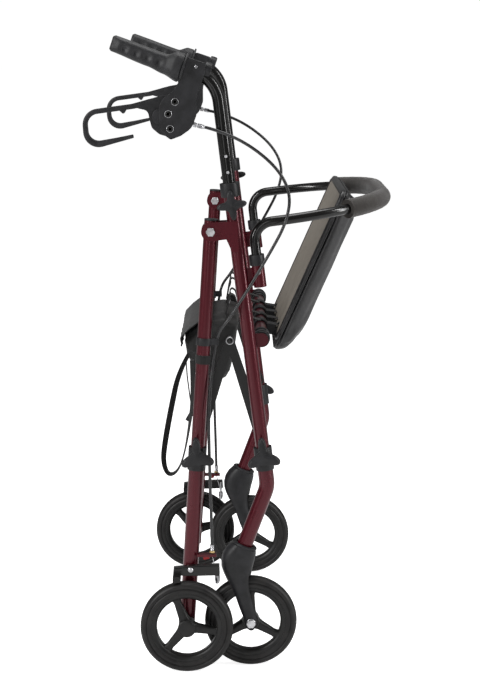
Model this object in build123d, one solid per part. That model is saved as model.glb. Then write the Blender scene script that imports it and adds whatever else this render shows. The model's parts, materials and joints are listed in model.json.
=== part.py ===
from build123d import *
import math
import os

# Folding four-wheel rollator walker, in its folded state, in millimetres.
# +X points forward (castors and backrest), +Y to the walker's left, +Z up.
# While it is built, X is counted from the fold hinge; the finished pieces are
# shifted so that the origin lies on the floor under the middle of the walker.
# Each side piece is drawn for the right side (negative Y) and mirrored.

# --- overall sizes -----------------------------------------------------------
LEG_Y = 250.0  # middle plane of the walker to the leg tubes
HINGE_Z = 723.0  # fold hinge above the floor
FRONT_OFFSET = 39.1  # fold hinge to the front leg's axis, at hinge height
FRONT_LEAN = 7.125  # the front leg leans back at the top, degrees
STEM_LEAN = 20.5  # the castor stem leans forward at the top, degrees
BEND_Z = 304.7  # height where the front leg turns into the castor stem
GRIP_RISE = 18.7  # the grip rises to the rear, degrees
FIT = 0.1  # radial clearance between telescoping tubes
GAP = 0.5  # clearance between faces that pass each other

# --- wheels ------------------------------------------------------------------
WHEEL_R = 76.0
TYRE_W = 26.0
CASTOR_TYRE_W = 24.0
RIM_R = 58.0  # tyre seat on the rim
RIM_INNER_R = 49.0
HUB_R = 14.0
SPOKE_W = 13.0
SPOKE_T = 12.0
SPOKES = 3
AXLE_R = 4.0
AXLE_FIT = 0.08
REAR_AXLE_X = -40.4
REAR_WHEEL_Y = 281.0
CASTOR_AXLE_X = 64.6

# --- tubes -------------------------------------------------------------------
UPPER_R = 11.1  # upper leg tubes
FRONT_WALL = 1.0
REAR_WALL = 1.6
LOWER_WALL = 1.5
LOWER_R = UPPER_R + FIT + LOWER_WALL
HANDLE_R = UPPER_R - FRONT_WALL - FIT
HANDLE_WALL = 1.5
FRONT_TOP_Z = 780.0
RIM_Z = 336.0  # upper rim of the lower leg tubes
STEM_LENGTH = 106.0  # bend to the lower end of the front lower tube
STEM_R = 4.0  # castor stem
BEND_R = 45.0
LEG_END_Z = 58.0  # lower end of the rear lower tube
REAR_TOP = 17.0  # rear tube above the hinge
REAR_INSERT = 120.0  # rear upper tube inside the lower one
FRONT_INSERT = 26.0

# --- handles -----------------------------------------------------------------
GRIP_START = (-43.3, 979.8)  # point on the grip's axis, at its flange
GRIP_LENGTH = 117.0
GRIP_R = 14.0
GRIP_FLANGE_R = 22.0
HANDLE_BEND_R = 57.0
HANDLE_INSERT = 140.0
HOLE_PITCH = 25.4
HOLE_R = 3.3
HANDLE_KNOB_Z = 766.0
LEVER_PIN = (-79.0, 904.0)
LEVER_PIN_R = 2.5
LEVER_T = 7.0
LEVER_W = 11.0
BODY_W = 28.0

# --- hinge, knobs and links --------------------------------------------------
PLATE_T = 2.5
HINGE_PLATE_R = 15.0
BOLT_R = 4.0
BOLT_HEAD_AF = 13.0
BOLT_HEAD_H = 5.5
COLLAR_R = 15.5
COLLAR_WALL = 2.2  # knob collars on the lower legs
COLLAR_H = 20.0
KNOB_T = 14.0
KNOB_R = 30.0
HANDLE_KNOB_R = 24.0
KNOB_SCREW_R = 3.0
KNOB_ABOVE_RIM = 26.0
LINK_LENGTH = 169.0
LINK_PIVOT_DROP = 341.0  # both link pivots, below the hinge
LINK_T = 3.0
LINK_W = 18.0
LINK_PIN_R = 3.0
LINK_GAP = 1.5  # collars to the inner link
LINK_FACE = -LEG_Y + LOWER_R + COLLAR_WALL + LINK_GAP

# --- seat --------------------------------------------------------------------
SEAT_AXIS = (81.6, 545.0)
SEAT_ANGLE = 66.1  # the flipped-up seat rises forward, degrees
SEAT_TUBE_R = 9.5
SEAT_W = 305.0
BOARD_OFFSET = 28.0  # seat hinge axis to the board's underside
BOARD_T = 5.0
BOARD_START = -6.0
BOARD_END = 268.0
CUSHION_T = 28.0
CUSHION_OVERHANG = 14.0
CUSHION_SKIN = 1.5
CLIP_W = 22.0
CLIP_WALL = 3.0
CLIP_Y = (-100.0, -35.0, 35.0, 100.0)
REAR_BAR_DROP = 139.0  # rear cross tube, along the rear leg from the hinge
CROSS_WALL = 1.2

# --- backrest ----------------------------------------------------------------
SOCKET_OFFSET = 28.8  # front leg axis to the socket axis
HOOP_R = 8.0
HOOP_WALL = 1.2
SOCKET_WALL = 2.1
SOCKET_Z = (630.0, 665.0)
HOOP_TOP_Z = 731.0  # height where the hoop turns forward
HOOP_BEND_R = 30.0
HOOP_CORNER_R = 184.0
HOOP_REACH = 220.0  # socket axis to the front of the hoop, along the hoop
FOAM_R = 15.5
FOAM_ANGLE = 50.0  # each end of the foam sleeve, degrees round the corner
BUTTON_Z = 654.0
BUTTON_R = 3.0

# --- brakes and cables -------------------------------------------------------
ARM_PIVOT_Z = 167.0
ARM_T = 4.0
ARM_REAR = 31.0  # pivot to the arm's rear end
ARM_AHEAD = 46.0
ARM_BELOW = 12.0
ARM_ABOVE = 1.0
SHOE_DROP = 14.5  # pivot down to the shoe's face
CABLE_R = 2.5
CABLE_RUN_SHARE = 0.45
CLIP_Z = 545.0
CLIP_POINT = (8.5, -LEG_Y - 4, CLIP_Z)
CLIP_FALL = (-3, 1, -17)
CABLE_END = (1.0, -LEG_Y - 10, 193.0)

BARREL = (-22.5, -257, 891)
CABLE_UPPER = [
    (-10, -260, 888),
    (20, -267.2, 880.8),
    (66, -273, 858),
    (108, -276, 822),
    (127, -277, 782),
    (119, -276, 738),
    (96, -273, 694),
    (60, -269, 633),
    (30, -262, 584),
    (11.5, -255, 562),
    (8.5, -254, 545),
]
CABLE_LOWER = [
    (8.5, -254, 545),
    (4.6, -252.7, 522.9),
    (-1, -260, 476),
    (-4, -268, 420),
    (-3, -267, 365),
    (-2, -264, 310),
    (0, -261, 252),
    (1, -260, 205),
]

# --- soft goods --------------------------------------------------------------
POUCH_W = 290.0
POUCH = [
    (-46, 548), (-44, 505), (-30, 478), (-8, 452), (22, 448), (34, 470), (42, 520), (48, 556),
    (20, 566), (-24, 566),
]

STRAP_T = 1.5
STRAP = [
    (-36, -222, 520),
    (-53, -224, 490),
    (-65, -226, 434),
    (-76, -226, 375),
    (-80, -226, 340),
    (-72, -226, 316),
    (-56, -226, 322),
    (-45, -226, 350),
    (-36, -226, 400),
    (-29, -224, 455),
    (-31, -222, 508),
]


# --- small helpers -----------------------------------------------------------
def tan(degrees):
    return math.tan(math.radians(degrees))


def at(x, z, y=-LEG_Y):
    """A point of the right side, from its place in the side view."""
    return Vector(x, y, z)


def rod(start, end, radius):
    """A solid round bar between two points."""
    axis = end - start
    return Solid.make_cylinder(radius, axis.length, Plane(origin=start, z_dir=axis))


def tube(start, end, radius, wall):
    return rod(start, end, radius) - rod(start, end, radius - wall)


def cross_rod(x, z, y_low, y_high, radius):
    """A round bar across the walker, along Y."""
    return rod(Vector(x, y_low, z), Vector(x, y_high, z), radius)


def plate(points, y_low, y_high):
    """A flat plate in the side view, from its outline."""
    outline = Polyline(*[(x, z) for x, z in points], close=True)
    return slab(make_face(Plane.XZ * outline), y_low, y_high)


def slab(face, y_low, y_high):
    """A face of the XZ plane, thickened from y_low to y_high."""
    return Pos(0, y_high, 0) * extrude(face, amount=y_high - y_low, dir=(0, -1, 0))


def capsule(p, q, r_p, r_q, y_low, y_high):
    """A plate with a round end about each of two points of the side view."""
    ends = [Pos(p[0], p[1]) * Circle(r_p), Pos(q[0], q[1]) * Circle(r_q)]
    hull = make_hull(ends[0].edges() + ends[1].edges())
    return slab(Plane.XZ * hull, y_low, y_high)


def side_box(x_low, x_high, z_low, z_high, y_low, y_high):
    middle = Pos((x_low + x_high) / 2, (y_low + y_high) / 2, (z_low + z_high) / 2)
    return middle * Box(x_high - x_low, y_high - y_low, z_high - z_low)


def hex_head(x, z, y_inner, height, across_flats, outward=-1):
    """A hexagon head or nut lying against the face at y_inner."""
    face = RegularPolygon(across_flats / 2, 6, major_radius=False)
    low, high = sorted((y_inner, y_inner + outward * height))
    return slab(Plane.XZ * (Pos(x, z) * face), low, high)


def swept(path, radius):
    start = path @ 0
    section = Plane(origin=start, z_dir=path % 0) * Circle(radius)
    return sweep(section, path=path)


def front_x(z):
    """The front leg's axis at a height."""
    return FRONT_OFFSET + tan(FRONT_LEAN) * (HINGE_Z - z)


def rear_x(z):
    """The rear leg's axis at a height."""
    return REAR_AXLE_X * (HINGE_Z - z) / (HINGE_Z - WHEEL_R)


def front(z, ahead=0.0):
    """A point on the front leg's axis, or ahead of it square to the leg."""
    lean = math.radians(FRONT_LEAN)
    return at(front_x(z) + ahead * math.cos(lean), z + ahead * math.sin(lean))


def rear(z):
    return at(rear_x(z), z)


def unit(degrees):
    """A direction in the side view, counted from +X towards +Z."""
    return (math.cos(math.radians(degrees)), math.sin(math.radians(degrees)))


def along(point, direction, distance):
    return (point[0] + direction[0] * distance, point[1] + direction[1] * distance)


LEG_UP = unit(90 + FRONT_LEAN)
STEM_DOWN = unit(-90 - STEM_LEAN)
BEND = (front_x(BEND_Z), BEND_Z)
FORK_TOP = along(BEND, STEM_DOWN, STEM_LENGTH + 2.0)
GRIP_BACK = unit(180 - GRIP_RISE)
SEAT_UP = unit(SEAT_ANGLE)
SEAT_OUT = unit(SEAT_ANGLE - 90)
CLIP_EAR_X = (rear_x(CLIP_Z) + 6, 12.5)


# --- frame -------------------------------------------------------------------
def hinge_bracket():
    """Two plates astride the rear leg, joined to the front leg by a block."""
    inner, outer = UPPER_R + GAP, UPPER_R + GAP + PLATE_T
    leg = front_x(HINGE_Z)
    block = leg - UPPER_R - 3.0
    outline = [
        (0, HINGE_Z - HINGE_PLATE_R),
        (block, HINGE_Z - 12),
        (leg - 5, HINGE_Z - 32),
        (leg + 6, HINGE_Z - 32),
        (leg + 3, HINGE_Z + 17),
        (0, HINGE_Z + HINGE_PLATE_R),
    ]
    body = plate(outline, -LEG_Y - outer, -LEG_Y + outer)
    body += cross_rod(0, HINGE_Z, -LEG_Y - outer, -LEG_Y + outer, HINGE_PLATE_R)
    room = side_box(
        -30, block, HINGE_Z - 50, HINGE_Z + 40, -LEG_Y - inner, -LEG_Y + inner
    )
    return body - room


def side_frame():
    """Front upper leg with its hinge bracket, seat bracket and backrest socket."""
    low, high = front(RIM_Z - FRONT_INSERT), front(FRONT_TOP_Z)
    inner_face = -LEG_Y + UPPER_R
    body = rod(low, high, UPPER_R) + hinge_bracket()
    body += capsule(
        (front_x(SEAT_AXIS[1]), SEAT_AXIS[1] - 2),
        SEAT_AXIS,
        11,
        SEAT_TUBE_R + 1.5,
        inner_face - 1.0,
        inner_face + PLATE_T,
    )
    socket_low = front(SOCKET_Z[0], SOCKET_OFFSET)
    socket_high = front(SOCKET_Z[1], SOCKET_OFFSET)
    socket_r = HOOP_R + FIT + SOCKET_WALL
    body += rod(socket_low, socket_high, socket_r)
    web = [front(z, ahead) for z, ahead in
           ((SOCKET_Z[0] + 3, 6), (SOCKET_Z[0] + 3, SOCKET_OFFSET - 4),
            (SOCKET_Z[1] - 3, SOCKET_OFFSET - 4), (SOCKET_Z[1] - 3, 6))]
    body += plate([(p.X, p.Z) for p in web], -LEG_Y - 2, -LEG_Y + 2)
    body -= rod(socket_low, socket_high, HOOP_R + FIT)
    body -= rod(low, high, UPPER_R - FRONT_WALL)
    # the knob's nut, welded on the outside of the tube
    knob_x = front_x(HANDLE_KNOB_Z)
    nut = cross_rod(knob_x, HANDLE_KNOB_Z, -LEG_Y - UPPER_R - 6, -LEG_Y - UPPER_R + 0.8, 7)
    body += nut
    body -= cross_rod(knob_x, HANDLE_KNOB_Z, -LEG_Y - 30, -LEG_Y, KNOB_SCREW_R + AXLE_FIT)
    outer = UPPER_R + GAP + PLATE_T
    body -= cross_rod(0, HINGE_Z, -LEG_Y - outer, -LEG_Y + outer, BOLT_R)
    button = front(BUTTON_Z, SOCKET_OFFSET)
    body -= cross_rod(button.X, button.Z, -LEG_Y - 20, -LEG_Y, BUTTON_R + AXLE_FIT)
    return body + link_pin(front_link_pivot(), LINK_FACE + LINK_T)


def hinge_bolts():
    """Fold hinge bolt with its head outboard and its nut inboard."""
    outer = UPPER_R + GAP + PLATE_T
    bolt = cross_rod(0, HINGE_Z, -LEG_Y - outer, -LEG_Y + outer, BOLT_R)
    bolt += hex_head(0, HINGE_Z, -LEG_Y - outer, BOLT_HEAD_H, BOLT_HEAD_AF)
    bolt += hex_head(0, HINGE_Z, -LEG_Y + outer, BOLT_HEAD_H, BOLT_HEAD_AF, 1)
    return bolt


def frame_collars():
    """Moulded collars on the handle receiver and on the backrest socket."""
    low, high = front(FRONT_TOP_Z - 2), front(FRONT_TOP_Z + COLLAR_H)
    shelf = front(FRONT_TOP_Z)
    receiver = rod(low, high, COLLAR_R) - rod(low, shelf, UPPER_R)
    receiver -= rod(low, high, HANDLE_R + FIT)
    low = front(SOCKET_Z[1], SOCKET_OFFSET)
    high = front(SOCKET_Z[1] + 17, SOCKET_OFFSET)
    socket = rod(low, high, HOOP_R + 4.2) - rod(low, high, HOOP_R)
    return [receiver, socket]


def rear_leg_upper():
    top = rear(HINGE_Z + REAR_TOP)
    low = rear(RIM_Z - REAR_INSERT)
    body = tube(low, top, UPPER_R, REAR_WALL)
    body -= cross_rod(0, HINGE_Z, -LEG_Y - 20, -LEG_Y + 20, BOLT_R + AXLE_FIT)
    return body + link_pin(rear_link_pivot(), LINK_FACE + 2 * LINK_T + 1.0)


def rear_leg_caps():
    """The plug on top of the rear leg, and the cable's clip round the leg."""
    top = rear(HINGE_Z + REAR_TOP)
    above = rear(HINGE_Z + REAR_TOP + 2.5)
    inside = rear(HINGE_Z + REAR_TOP - 7)
    plug = rod(top, above, UPPER_R) + rod(inside, top, UPPER_R - REAR_WALL)
    band = tube(rear(CLIP_Z - 6), rear(CLIP_Z + 6), UPPER_R + 2.0, 2.0)
    band += side_box(*CLIP_EAR_X, CLIP_Z - 5, CLIP_Z + 5, -LEG_Y - 8, -LEG_Y + 0)
    band -= rod(rear(CLIP_Z - 20), rear(CLIP_Z + 20), UPPER_R)
    hold = Vector(CLIP_POINT)
    fall = Vector(*CLIP_FALL).normalized()
    band -= rod(hold - fall * 20, hold + fall * 20, CABLE_R)
    return [plug, band]


def rear_bar():
    """Where the rear cross tube's axis meets the side view."""
    drop = Vector(REAR_AXLE_X, 0, WHEEL_R - HINGE_Z).normalized() * REAR_BAR_DROP
    return (drop.X, HINGE_Z + drop.Z)


def cross_tube(place, reach):
    """A straight tube between the two sides."""
    start, end = Vector(place[0], -reach, place[1]), Vector(place[0], reach, place[1])
    return tube(start, end, SEAT_TUBE_R, CROSS_WALL)


# --- telescoping lower legs --------------------------------------------------
def leg_collar(low, up):
    """The knob's collar, moulded round the top of a lower leg tube."""
    high = low + up * (KNOB_ABOVE_RIM + 9)
    body = rod(low - up * 3, high, LOWER_R + COLLAR_WALL) - rod(low - up * 3, low, LOWER_R)
    body -= rod(low - up * 3, high, UPPER_R + FIT)
    place = low + up * KNOB_ABOVE_RIM
    boss = cross_rod(place.X, place.Z, -LEG_Y - LOWER_R - 7, -LEG_Y - UPPER_R - 1.5, 8)
    body += boss
    body -= cross_rod(place.X, place.Z, -LEG_Y - 40, -LEG_Y, KNOB_SCREW_R + AXLE_FIT)
    body -= rod(low - up * 3, high, UPPER_R + FIT)
    return body


def leg_directions():
    up_rear = (rear(RIM_Z + 10) - rear(RIM_Z)).normalized()
    up_front = (front(RIM_Z + 10) - front(RIM_Z)).normalized()
    return up_rear, up_front


def rear_leg_lower():
    rim, end = rear(RIM_Z), rear(LEG_END_Z)
    body = tube(end, rim, LOWER_R, LOWER_WALL)
    axle_x = REAR_AXLE_X
    body -= cross_rod(axle_x, WHEEL_R, -LEG_Y - 20, -LEG_Y + 20, AXLE_R)
    pivot = (rear_x(ARM_PIVOT_Z), ARM_PIVOT_Z)
    body -= cross_rod(*pivot, -LEG_Y - 20, -LEG_Y, 3.0)
    body += brake_bracket()
    body -= rod(end, rim, LOWER_R - LOWER_WALL)
    return body


def brake_bracket():
    """A lug on the front of the leg that holds the cable's lower end."""
    x_leg = rear_x(192)
    lug = side_box(x_leg + 9, CABLE_END[0] + 7, 189, 193, -LEG_Y - 16, -LEG_Y - 4)
    lug -= rod(Vector(CABLE_END), Vector(*CABLE_END) - Vector(0, 0, 40), 2.0)
    return lug


def rear_axle():
    """Axle bolt from inside the leg to the outside of the hub."""
    end = -REAR_WHEEL_Y - TYRE_W / 2 + 1.0
    bolt = cross_rod(REAR_AXLE_X, WHEEL_R, end, -LEG_Y + LOWER_R, AXLE_R)
    bolt += hex_head(REAR_AXLE_X, WHEEL_R, -LEG_Y + LOWER_R, BOLT_HEAD_H, BOLT_HEAD_AF, 1)
    inner_face = -REAR_WHEEL_Y + TYRE_W / 2 + 1.0
    bolt += cross_rod(REAR_AXLE_X, WHEEL_R, inner_face, -LEG_Y - LOWER_R, AXLE_R + 3)
    pivot = (rear_x(ARM_PIVOT_Z), ARM_PIVOT_Z)
    arm_face = -LEG_Y - LOWER_R - GAP
    rivet = cross_rod(*pivot, arm_face - ARM_T - 0.5, -LEG_Y - LOWER_R + LOWER_WALL, 3.0)
    rivet += hex_head(*pivot, arm_face - ARM_T - 0.5, 3.0, 9.0)
    return [bolt, rivet]


def front_leg_lower():
    """Bent lower leg: it leads down to the castor's stem."""
    rim = front(RIM_Z)
    end = at(*along(BEND, STEM_DOWN, STEM_LENGTH))
    path = FilletPolyline(rim, at(*BEND), end, radius=BEND_R)
    body = swept(path, LOWER_R) - swept(path, LOWER_R - LOWER_WALL)
    body -= rod(front(RIM_Z), front(RIM_Z - FRONT_INSERT - 3), UPPER_R + FIT)
    plug_top = at(*along(BEND, STEM_DOWN, STEM_LENGTH - 14))
    body += rod(plug_top, end, LOWER_R - LOWER_WALL)
    return body - rod(plug_top, end, STEM_R + AXLE_FIT)


def knob(x, z, y_face, lobes, radius, screw_to):
    """A lobed clamping knob whose screw runs along Y."""
    tip = 6.5
    waist = 0.42 * radius
    shape = Circle(waist)
    for number in range(lobes):
        turn = 360 / lobes * number
        arm = make_hull(
            Circle(waist * 0.86).edges() + (Pos(0, radius - tip) * Circle(tip)).edges()
        )
        shape += Rot(0, 0, turn) * arm
    low, high = y_face - KNOB_T, y_face
    body = slab(Plane.XZ * (Pos(x, z) * shape), low, high)
    body += cross_rod(x, z, low - 3, low, waist * 0.8)
    body += cross_rod(x, z, high, screw_to, KNOB_SCREW_R)
    return body


def rear_leg_knob():
    up, _ = leg_directions()
    place = rear(RIM_Z) + up * KNOB_ABOVE_RIM
    face = -LEG_Y - LOWER_R - 7 - GAP
    return knob(place.X, place.Z, face, 3, KNOB_R, -LEG_Y - UPPER_R - 0.6)


def front_leg_knob():
    _, up = leg_directions()
    place = front(RIM_Z) + up * KNOB_ABOVE_RIM
    face = -LEG_Y - LOWER_R - 7 - GAP
    return knob(place.X, place.Z, face, 3, KNOB_R, -LEG_Y - UPPER_R - 0.6)


def handle_knob():
    face = -LEG_Y - UPPER_R - 6 - GAP
    end = -LEG_Y - HANDLE_R - FIT - 0.5
    x = front_x(HANDLE_KNOB_Z)
    return knob(x, HANDLE_KNOB_Z, face, 4, HANDLE_KNOB_R, end)


# --- folding links -----------------------------------------------------------
def front_link_pivot():
    return (front_x(HINGE_Z - LINK_PIVOT_DROP), HINGE_Z - LINK_PIVOT_DROP)


def rear_link_pivot():
    return (rear_x(HINGE_Z - LINK_PIVOT_DROP), HINGE_Z - LINK_PIVOT_DROP)


def link_apex():
    (x_f, z_f), (x_r, z_r) = front_link_pivot(), rear_link_pivot()
    half = math.dist((x_f, z_f), (x_r, z_r)) / 2
    rise = math.sqrt(LINK_LENGTH**2 - half**2)
    return ((x_f + x_r) / 2, (z_f + z_r) / 2 + rise)


def link(pivot, y_low, y_high):
    """A flat link, tapered to the apex, with a hole for its pin."""
    body = capsule(pivot, link_apex(), LINK_W / 2 + 1, LINK_W / 2 - 2, y_low, y_high)
    body -= cross_rod(*pivot, y_low, y_high, LINK_PIN_R + AXLE_FIT)
    return body


def front_link():
    return link(front_link_pivot(), LINK_FACE, LINK_FACE + LINK_T)


def rear_link():
    low = LINK_FACE + LINK_T + 1.0
    return link(rear_link_pivot(), low, low + LINK_T)


def link_pin(pivot, y_end):
    """A pin from the leg's inner wall to just past the link."""
    pin = cross_rod(*pivot, -LEG_Y + UPPER_R - REAR_WALL, y_end + 0.4, LINK_PIN_R)
    return pin + cross_rod(*pivot, y_end + 0.4, y_end + 2.4, LINK_PIN_R + 3)


# --- wheels ------------------------------------------------------------------
def tyre(x, y, width):
    """A tyre with rounded shoulders, on its flat seat."""
    r = WHEEL_R
    half = width / 2
    profile = Polyline(
        (RIM_R, -half + 2), (r - 8, -half), (r - 2.5, -half + 4), (r, -half + 9),
        (r, half - 9), (r - 2.5, half - 4), (r - 8, half), (RIM_R, half - 2), close=True,
    )
    ring = revolve(make_face(profile), axis=Axis.Y)
    return Pos(x, y, WHEEL_R) * ring


def hub(x, y, width, first_spoke, cap):
    """Rim, spokes and hub in one moulding; cap closes the outer end."""
    half = width / 2 - 2
    rim = cross_rod(x, WHEEL_R, y - half, y + half, RIM_R)
    rim -= cross_rod(x, WHEEL_R, y - half, y + half, RIM_INNER_R)
    core = cross_rod(x, WHEEL_R, y - width / 2, y + width / 2, HUB_R)
    body = rim + core
    for number in range(SPOKES):
        turn = first_spoke + 360 / SPOKES * number
        end = along((x, WHEEL_R), unit(turn), RIM_INNER_R + 3)
        start = along((x, WHEEL_R), unit(turn), 3)
        body += capsule(start, end, SPOKE_W / 2 + 1, SPOKE_W / 2, y - SPOKE_T / 2,
                        y + SPOKE_T / 2)
    bore_low = y - width / 2 + (1.0 if cap else 0.0)
    body -= cross_rod(x, WHEEL_R, bore_low, y + width / 2, AXLE_R + AXLE_FIT)
    if cap:
        body += cross_rod(x, WHEEL_R, y - width / 2 - 4, y - width / 2 + 0.5, HUB_R - 1)
    return body & cross_rod(x, WHEEL_R, y - width, y + width, RIM_R)


def castor_fork():
    """Hooded fork: a round cap under the stem and a blade on each side."""
    inner = CASTOR_TYRE_W / 2 + 2.0
    outer = inner + 5.0
    axle = (CASTOR_AXLE_X, WHEEL_R)
    top, crown = FORK_TOP, along(FORK_TOP, STEM_DOWN, 24)
    body = rod(at(*top), at(*crown), outer + 2)
    waist = along(crown, STEM_DOWN, 10)
    for side in (-1, 1):
        low, high = sorted((-LEG_Y + side * inner, -LEG_Y + side * outer))
        body += capsule(waist, axle, 21, 13, low, high)
        body += capsule(crown, waist, 21, 21, low, high)
    bridge = capsule(crown, along(crown, STEM_DOWN, 8), 17, 17, -LEG_Y - outer, -LEG_Y + outer)
    body += bridge
    body -= cross_rod(*axle, -LEG_Y - inner, -LEG_Y + inner, WHEEL_R + 4)
    body -= cross_rod(*axle, -LEG_Y - outer, -LEG_Y + outer, AXLE_R)
    stem = rod(at(*along(FORK_TOP, STEM_DOWN, -30)), at(*top), STEM_R)
    return body + stem


def castor_axle():
    outer = CASTOR_TYRE_W / 2 + 7.0
    axle = (CASTOR_AXLE_X, WHEEL_R)
    bolt = cross_rod(*axle, -LEG_Y - outer, -LEG_Y + outer, AXLE_R)
    bolt += hex_head(*axle, -LEG_Y - outer, 5.0, BOLT_HEAD_AF)
    bolt += hex_head(*axle, -LEG_Y + outer, 5.0, BOLT_HEAD_AF, 1)
    return bolt


# --- handles, grips and brake levers -----------------------------------------
def handle_path():
    low = front(FRONT_TOP_Z - HANDLE_INSERT)
    corner = handle_corner()
    end = at(*along(GRIP_START, GRIP_BACK, GRIP_LENGTH - 4))
    return FilletPolyline(low, at(*corner), end, radius=HANDLE_BEND_R)


def handle_corner():
    """Where the receiver's axis meets the grip's axis."""
    x, z = GRIP_START
    slope = tan(GRIP_RISE)
    lean = tan(FRONT_LEAN)
    # z = z_grip - slope * (corner - x_grip) and corner = front_x(z)
    corner_x = (FRONT_OFFSET + lean * (HINGE_Z - z - slope * x)) / (1 - lean * slope)
    return (corner_x, z - slope * (corner_x - x))


def handle_tube():
    path = handle_path()
    body = swept(path, HANDLE_R) - swept(path, HANDLE_R - HANDLE_WALL)
    for number in range(-2, 4):
        place = along((front_x(HANDLE_KNOB_Z), HANDLE_KNOB_Z), LEG_UP, number * HOLE_PITCH)
        body -= cross_rod(*place, -LEG_Y - 20, -LEG_Y, HOLE_R)
    return body


def grip():
    start = at(*GRIP_START)
    back = at(*along(GRIP_START, GRIP_BACK, 1)) - start
    end = start + back * GRIP_LENGTH
    body = rod(start, end, GRIP_R)
    body += Solid.make_cone(GRIP_FLANGE_R, GRIP_R, 12, Plane(origin=start, z_dir=back))
    return body - rod(start, start + back * (GRIP_LENGTH - 4), HANDLE_R)


def brake_body():
    """Lever housing, clamped round the handle tube in front of the grip."""
    x, z = LEVER_PIN
    outline = [
        (-36, 996), (-6, 986), (-9, 968), (-22, 932), (-22, 905), (-29, 886), (-46, 874),
        (-62, 868), (-73, 876), (-80, 889), (-80, 919), (-75, 931), (-57, 944), (-50, 956),
    ]
    body = plate(outline, -LEG_Y - BODY_W / 2, -LEG_Y + BODY_W / 2)
    body += cross_rod(x, z, -LEG_Y - BODY_W / 2, -LEG_Y + BODY_W / 2, 12)
    slot = LEVER_W / 2 + GAP
    body -= cross_rod(x, z, -LEG_Y - slot, -LEG_Y + slot, 17)
    sweep_room = [(x - 60, z - 45), (x + 12, z - 14), (x + 19, z + 36), (x - 60, z + 60)]
    body -= plate(sweep_room, -LEG_Y - slot, -LEG_Y + slot)
    body += cross_rod(x, z, -LEG_Y - slot, -LEG_Y + slot, LEVER_PIN_R)
    return body - swept(handle_path(), HANDLE_R)


def brake_bolts():
    """Socket screws in the outer face of the lever housing."""
    face = -LEG_Y - BODY_W / 2
    screws = []
    for x, z in ((-55, 927), (-65.6, 908), (-62.8, 885), (-22, 978)):
        screws.append(cross_rod(x, z, face - 3, face, 4.5) - cross_rod(x, z, face - 3, face - 1, 2.2))
    start, end = Vector(BARREL), Vector(CABLE_UPPER[0])
    return screws + [rod(start, end, 3.6)]


def brake_lever():
    """Loop lever: out to the rear, round, and back to a free tip."""
    x, z = LEVER_PIN
    points = [at(*p) for p in ((x, z), (x - 1, 930), (-197, 909), (-193, 857), (-121, 873))]
    path = FilletPolyline(*points, radius=[10, 20, 22])
    section = Plane(origin=points[0], x_dir=(0, 1, 0), z_dir=path % 0)
    loop = sweep(section * RectangleRounded(LEVER_W, LEVER_T, 2.5), path=path)
    loop += cross_rod(x, z, -LEG_Y - LEVER_W / 2, -LEG_Y + LEVER_W / 2, 9)
    return loop - cross_rod(x, z, -LEG_Y - LEVER_W, -LEG_Y + LEVER_W, LEVER_PIN_R + AXLE_FIT)


# --- rear brake and its cable ------------------------------------------------
def brake_arm():
    """A bar on the leg's outer face; its rear end turns out over the tyre."""
    x, low, high = rear_x(ARM_PIVOT_Z), ARM_PIVOT_Z - ARM_BELOW, ARM_PIVOT_Z + ARM_ABOVE
    face = -LEG_Y - LOWER_R - GAP
    back = x - ARM_REAR
    bar = side_box(back, x + ARM_AHEAD, low, high, face - ARM_T, face)
    bar += cross_rod(x, ARM_PIVOT_Z, face - ARM_T, face, 8)
    tyre_outer = -REAR_WHEEL_Y - TYRE_W / 2 + 4
    bar += side_box(back, back + 5, low, high, tyre_outer, face)
    bar += side_box(back, back + 9, ARM_PIVOT_Z - SHOE_DROP, low, tyre_outer, face - 2)
    bar -= cross_rod(x, ARM_PIVOT_Z, face - ARM_T - 1, face + 1, 3.0 + AXLE_FIT)
    end = side_box(x + ARM_AHEAD - 12, x + ARM_AHEAD, low, low + 4, face - ARM_T, face + 8)
    return bar + end


def corner_radii(points):
    """As large an arc at each corner as its two runs allow."""
    radii = []
    for before, corner, after in zip(points, points[1:], points[2:]):
        first, second = corner - before, after - corner
        turn = math.radians(first.get_angle(second))
        run = min(first.length, second.length)
        radii.append(CABLE_RUN_SHARE * run / math.tan(turn / 2))
    return radii


def cord_tube(name, route, radius):
    points = [Vector(p) for p in route]
    radii = corner_radii(points)
    path = FilletPolyline(*points, radius=radii)
    body = swept(path, radius)
    print(name, "length", round(path.length), "least radius", round(min(radii)),
          "volume share", round(body.volume / (math.pi * radius**2 * path.length), 3))
    return body


def cable_lower():
    """Cable housing down the rear leg, with its threaded end piece."""
    end = Vector(CABLE_LOWER[-1])
    foot = Vector(CABLE_END)
    body = cord_tube("cable_lower", CABLE_LOWER, CABLE_R)
    return body + rod(end, foot, 3.6)


# --- seat --------------------------------------------------------------------
def seat_point(up, out, y=0.0):
    """A place on the seat: up the board from the hinge axis, and out from it."""
    x, z = along(along(SEAT_AXIS, SEAT_UP, up), SEAT_OUT, out)
    return Vector(x, y, z)


def seat_slab(up_low, up_high, out_low, out_high, width, radius):
    """A flat rounded panel that lies along the seat."""
    x_dir = Vector(SEAT_UP[0], 0, SEAT_UP[1])
    middle = seat_point((up_low + up_high) / 2, out_low)
    base = Plane(origin=middle, x_dir=x_dir, z_dir=Vector(SEAT_OUT[0], 0, SEAT_OUT[1]))
    face = base * RectangleRounded(up_high - up_low, width, radius)
    return extrude(face, amount=out_high - out_low)


def seat_board():
    out = BOARD_OFFSET
    board = seat_slab(BOARD_START, BOARD_END, out, out + BOARD_T, SEAT_W, 22)
    rib_low, rib_high = BOARD_START + 14, BOARD_END - 14
    frame = seat_slab(rib_low, rib_high, out - 5, out, SEAT_W - 26, 16)
    frame -= seat_slab(rib_low + 5, rib_high - 5, out - 5, out, SEAT_W - 36, 12)
    return board + frame


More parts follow.
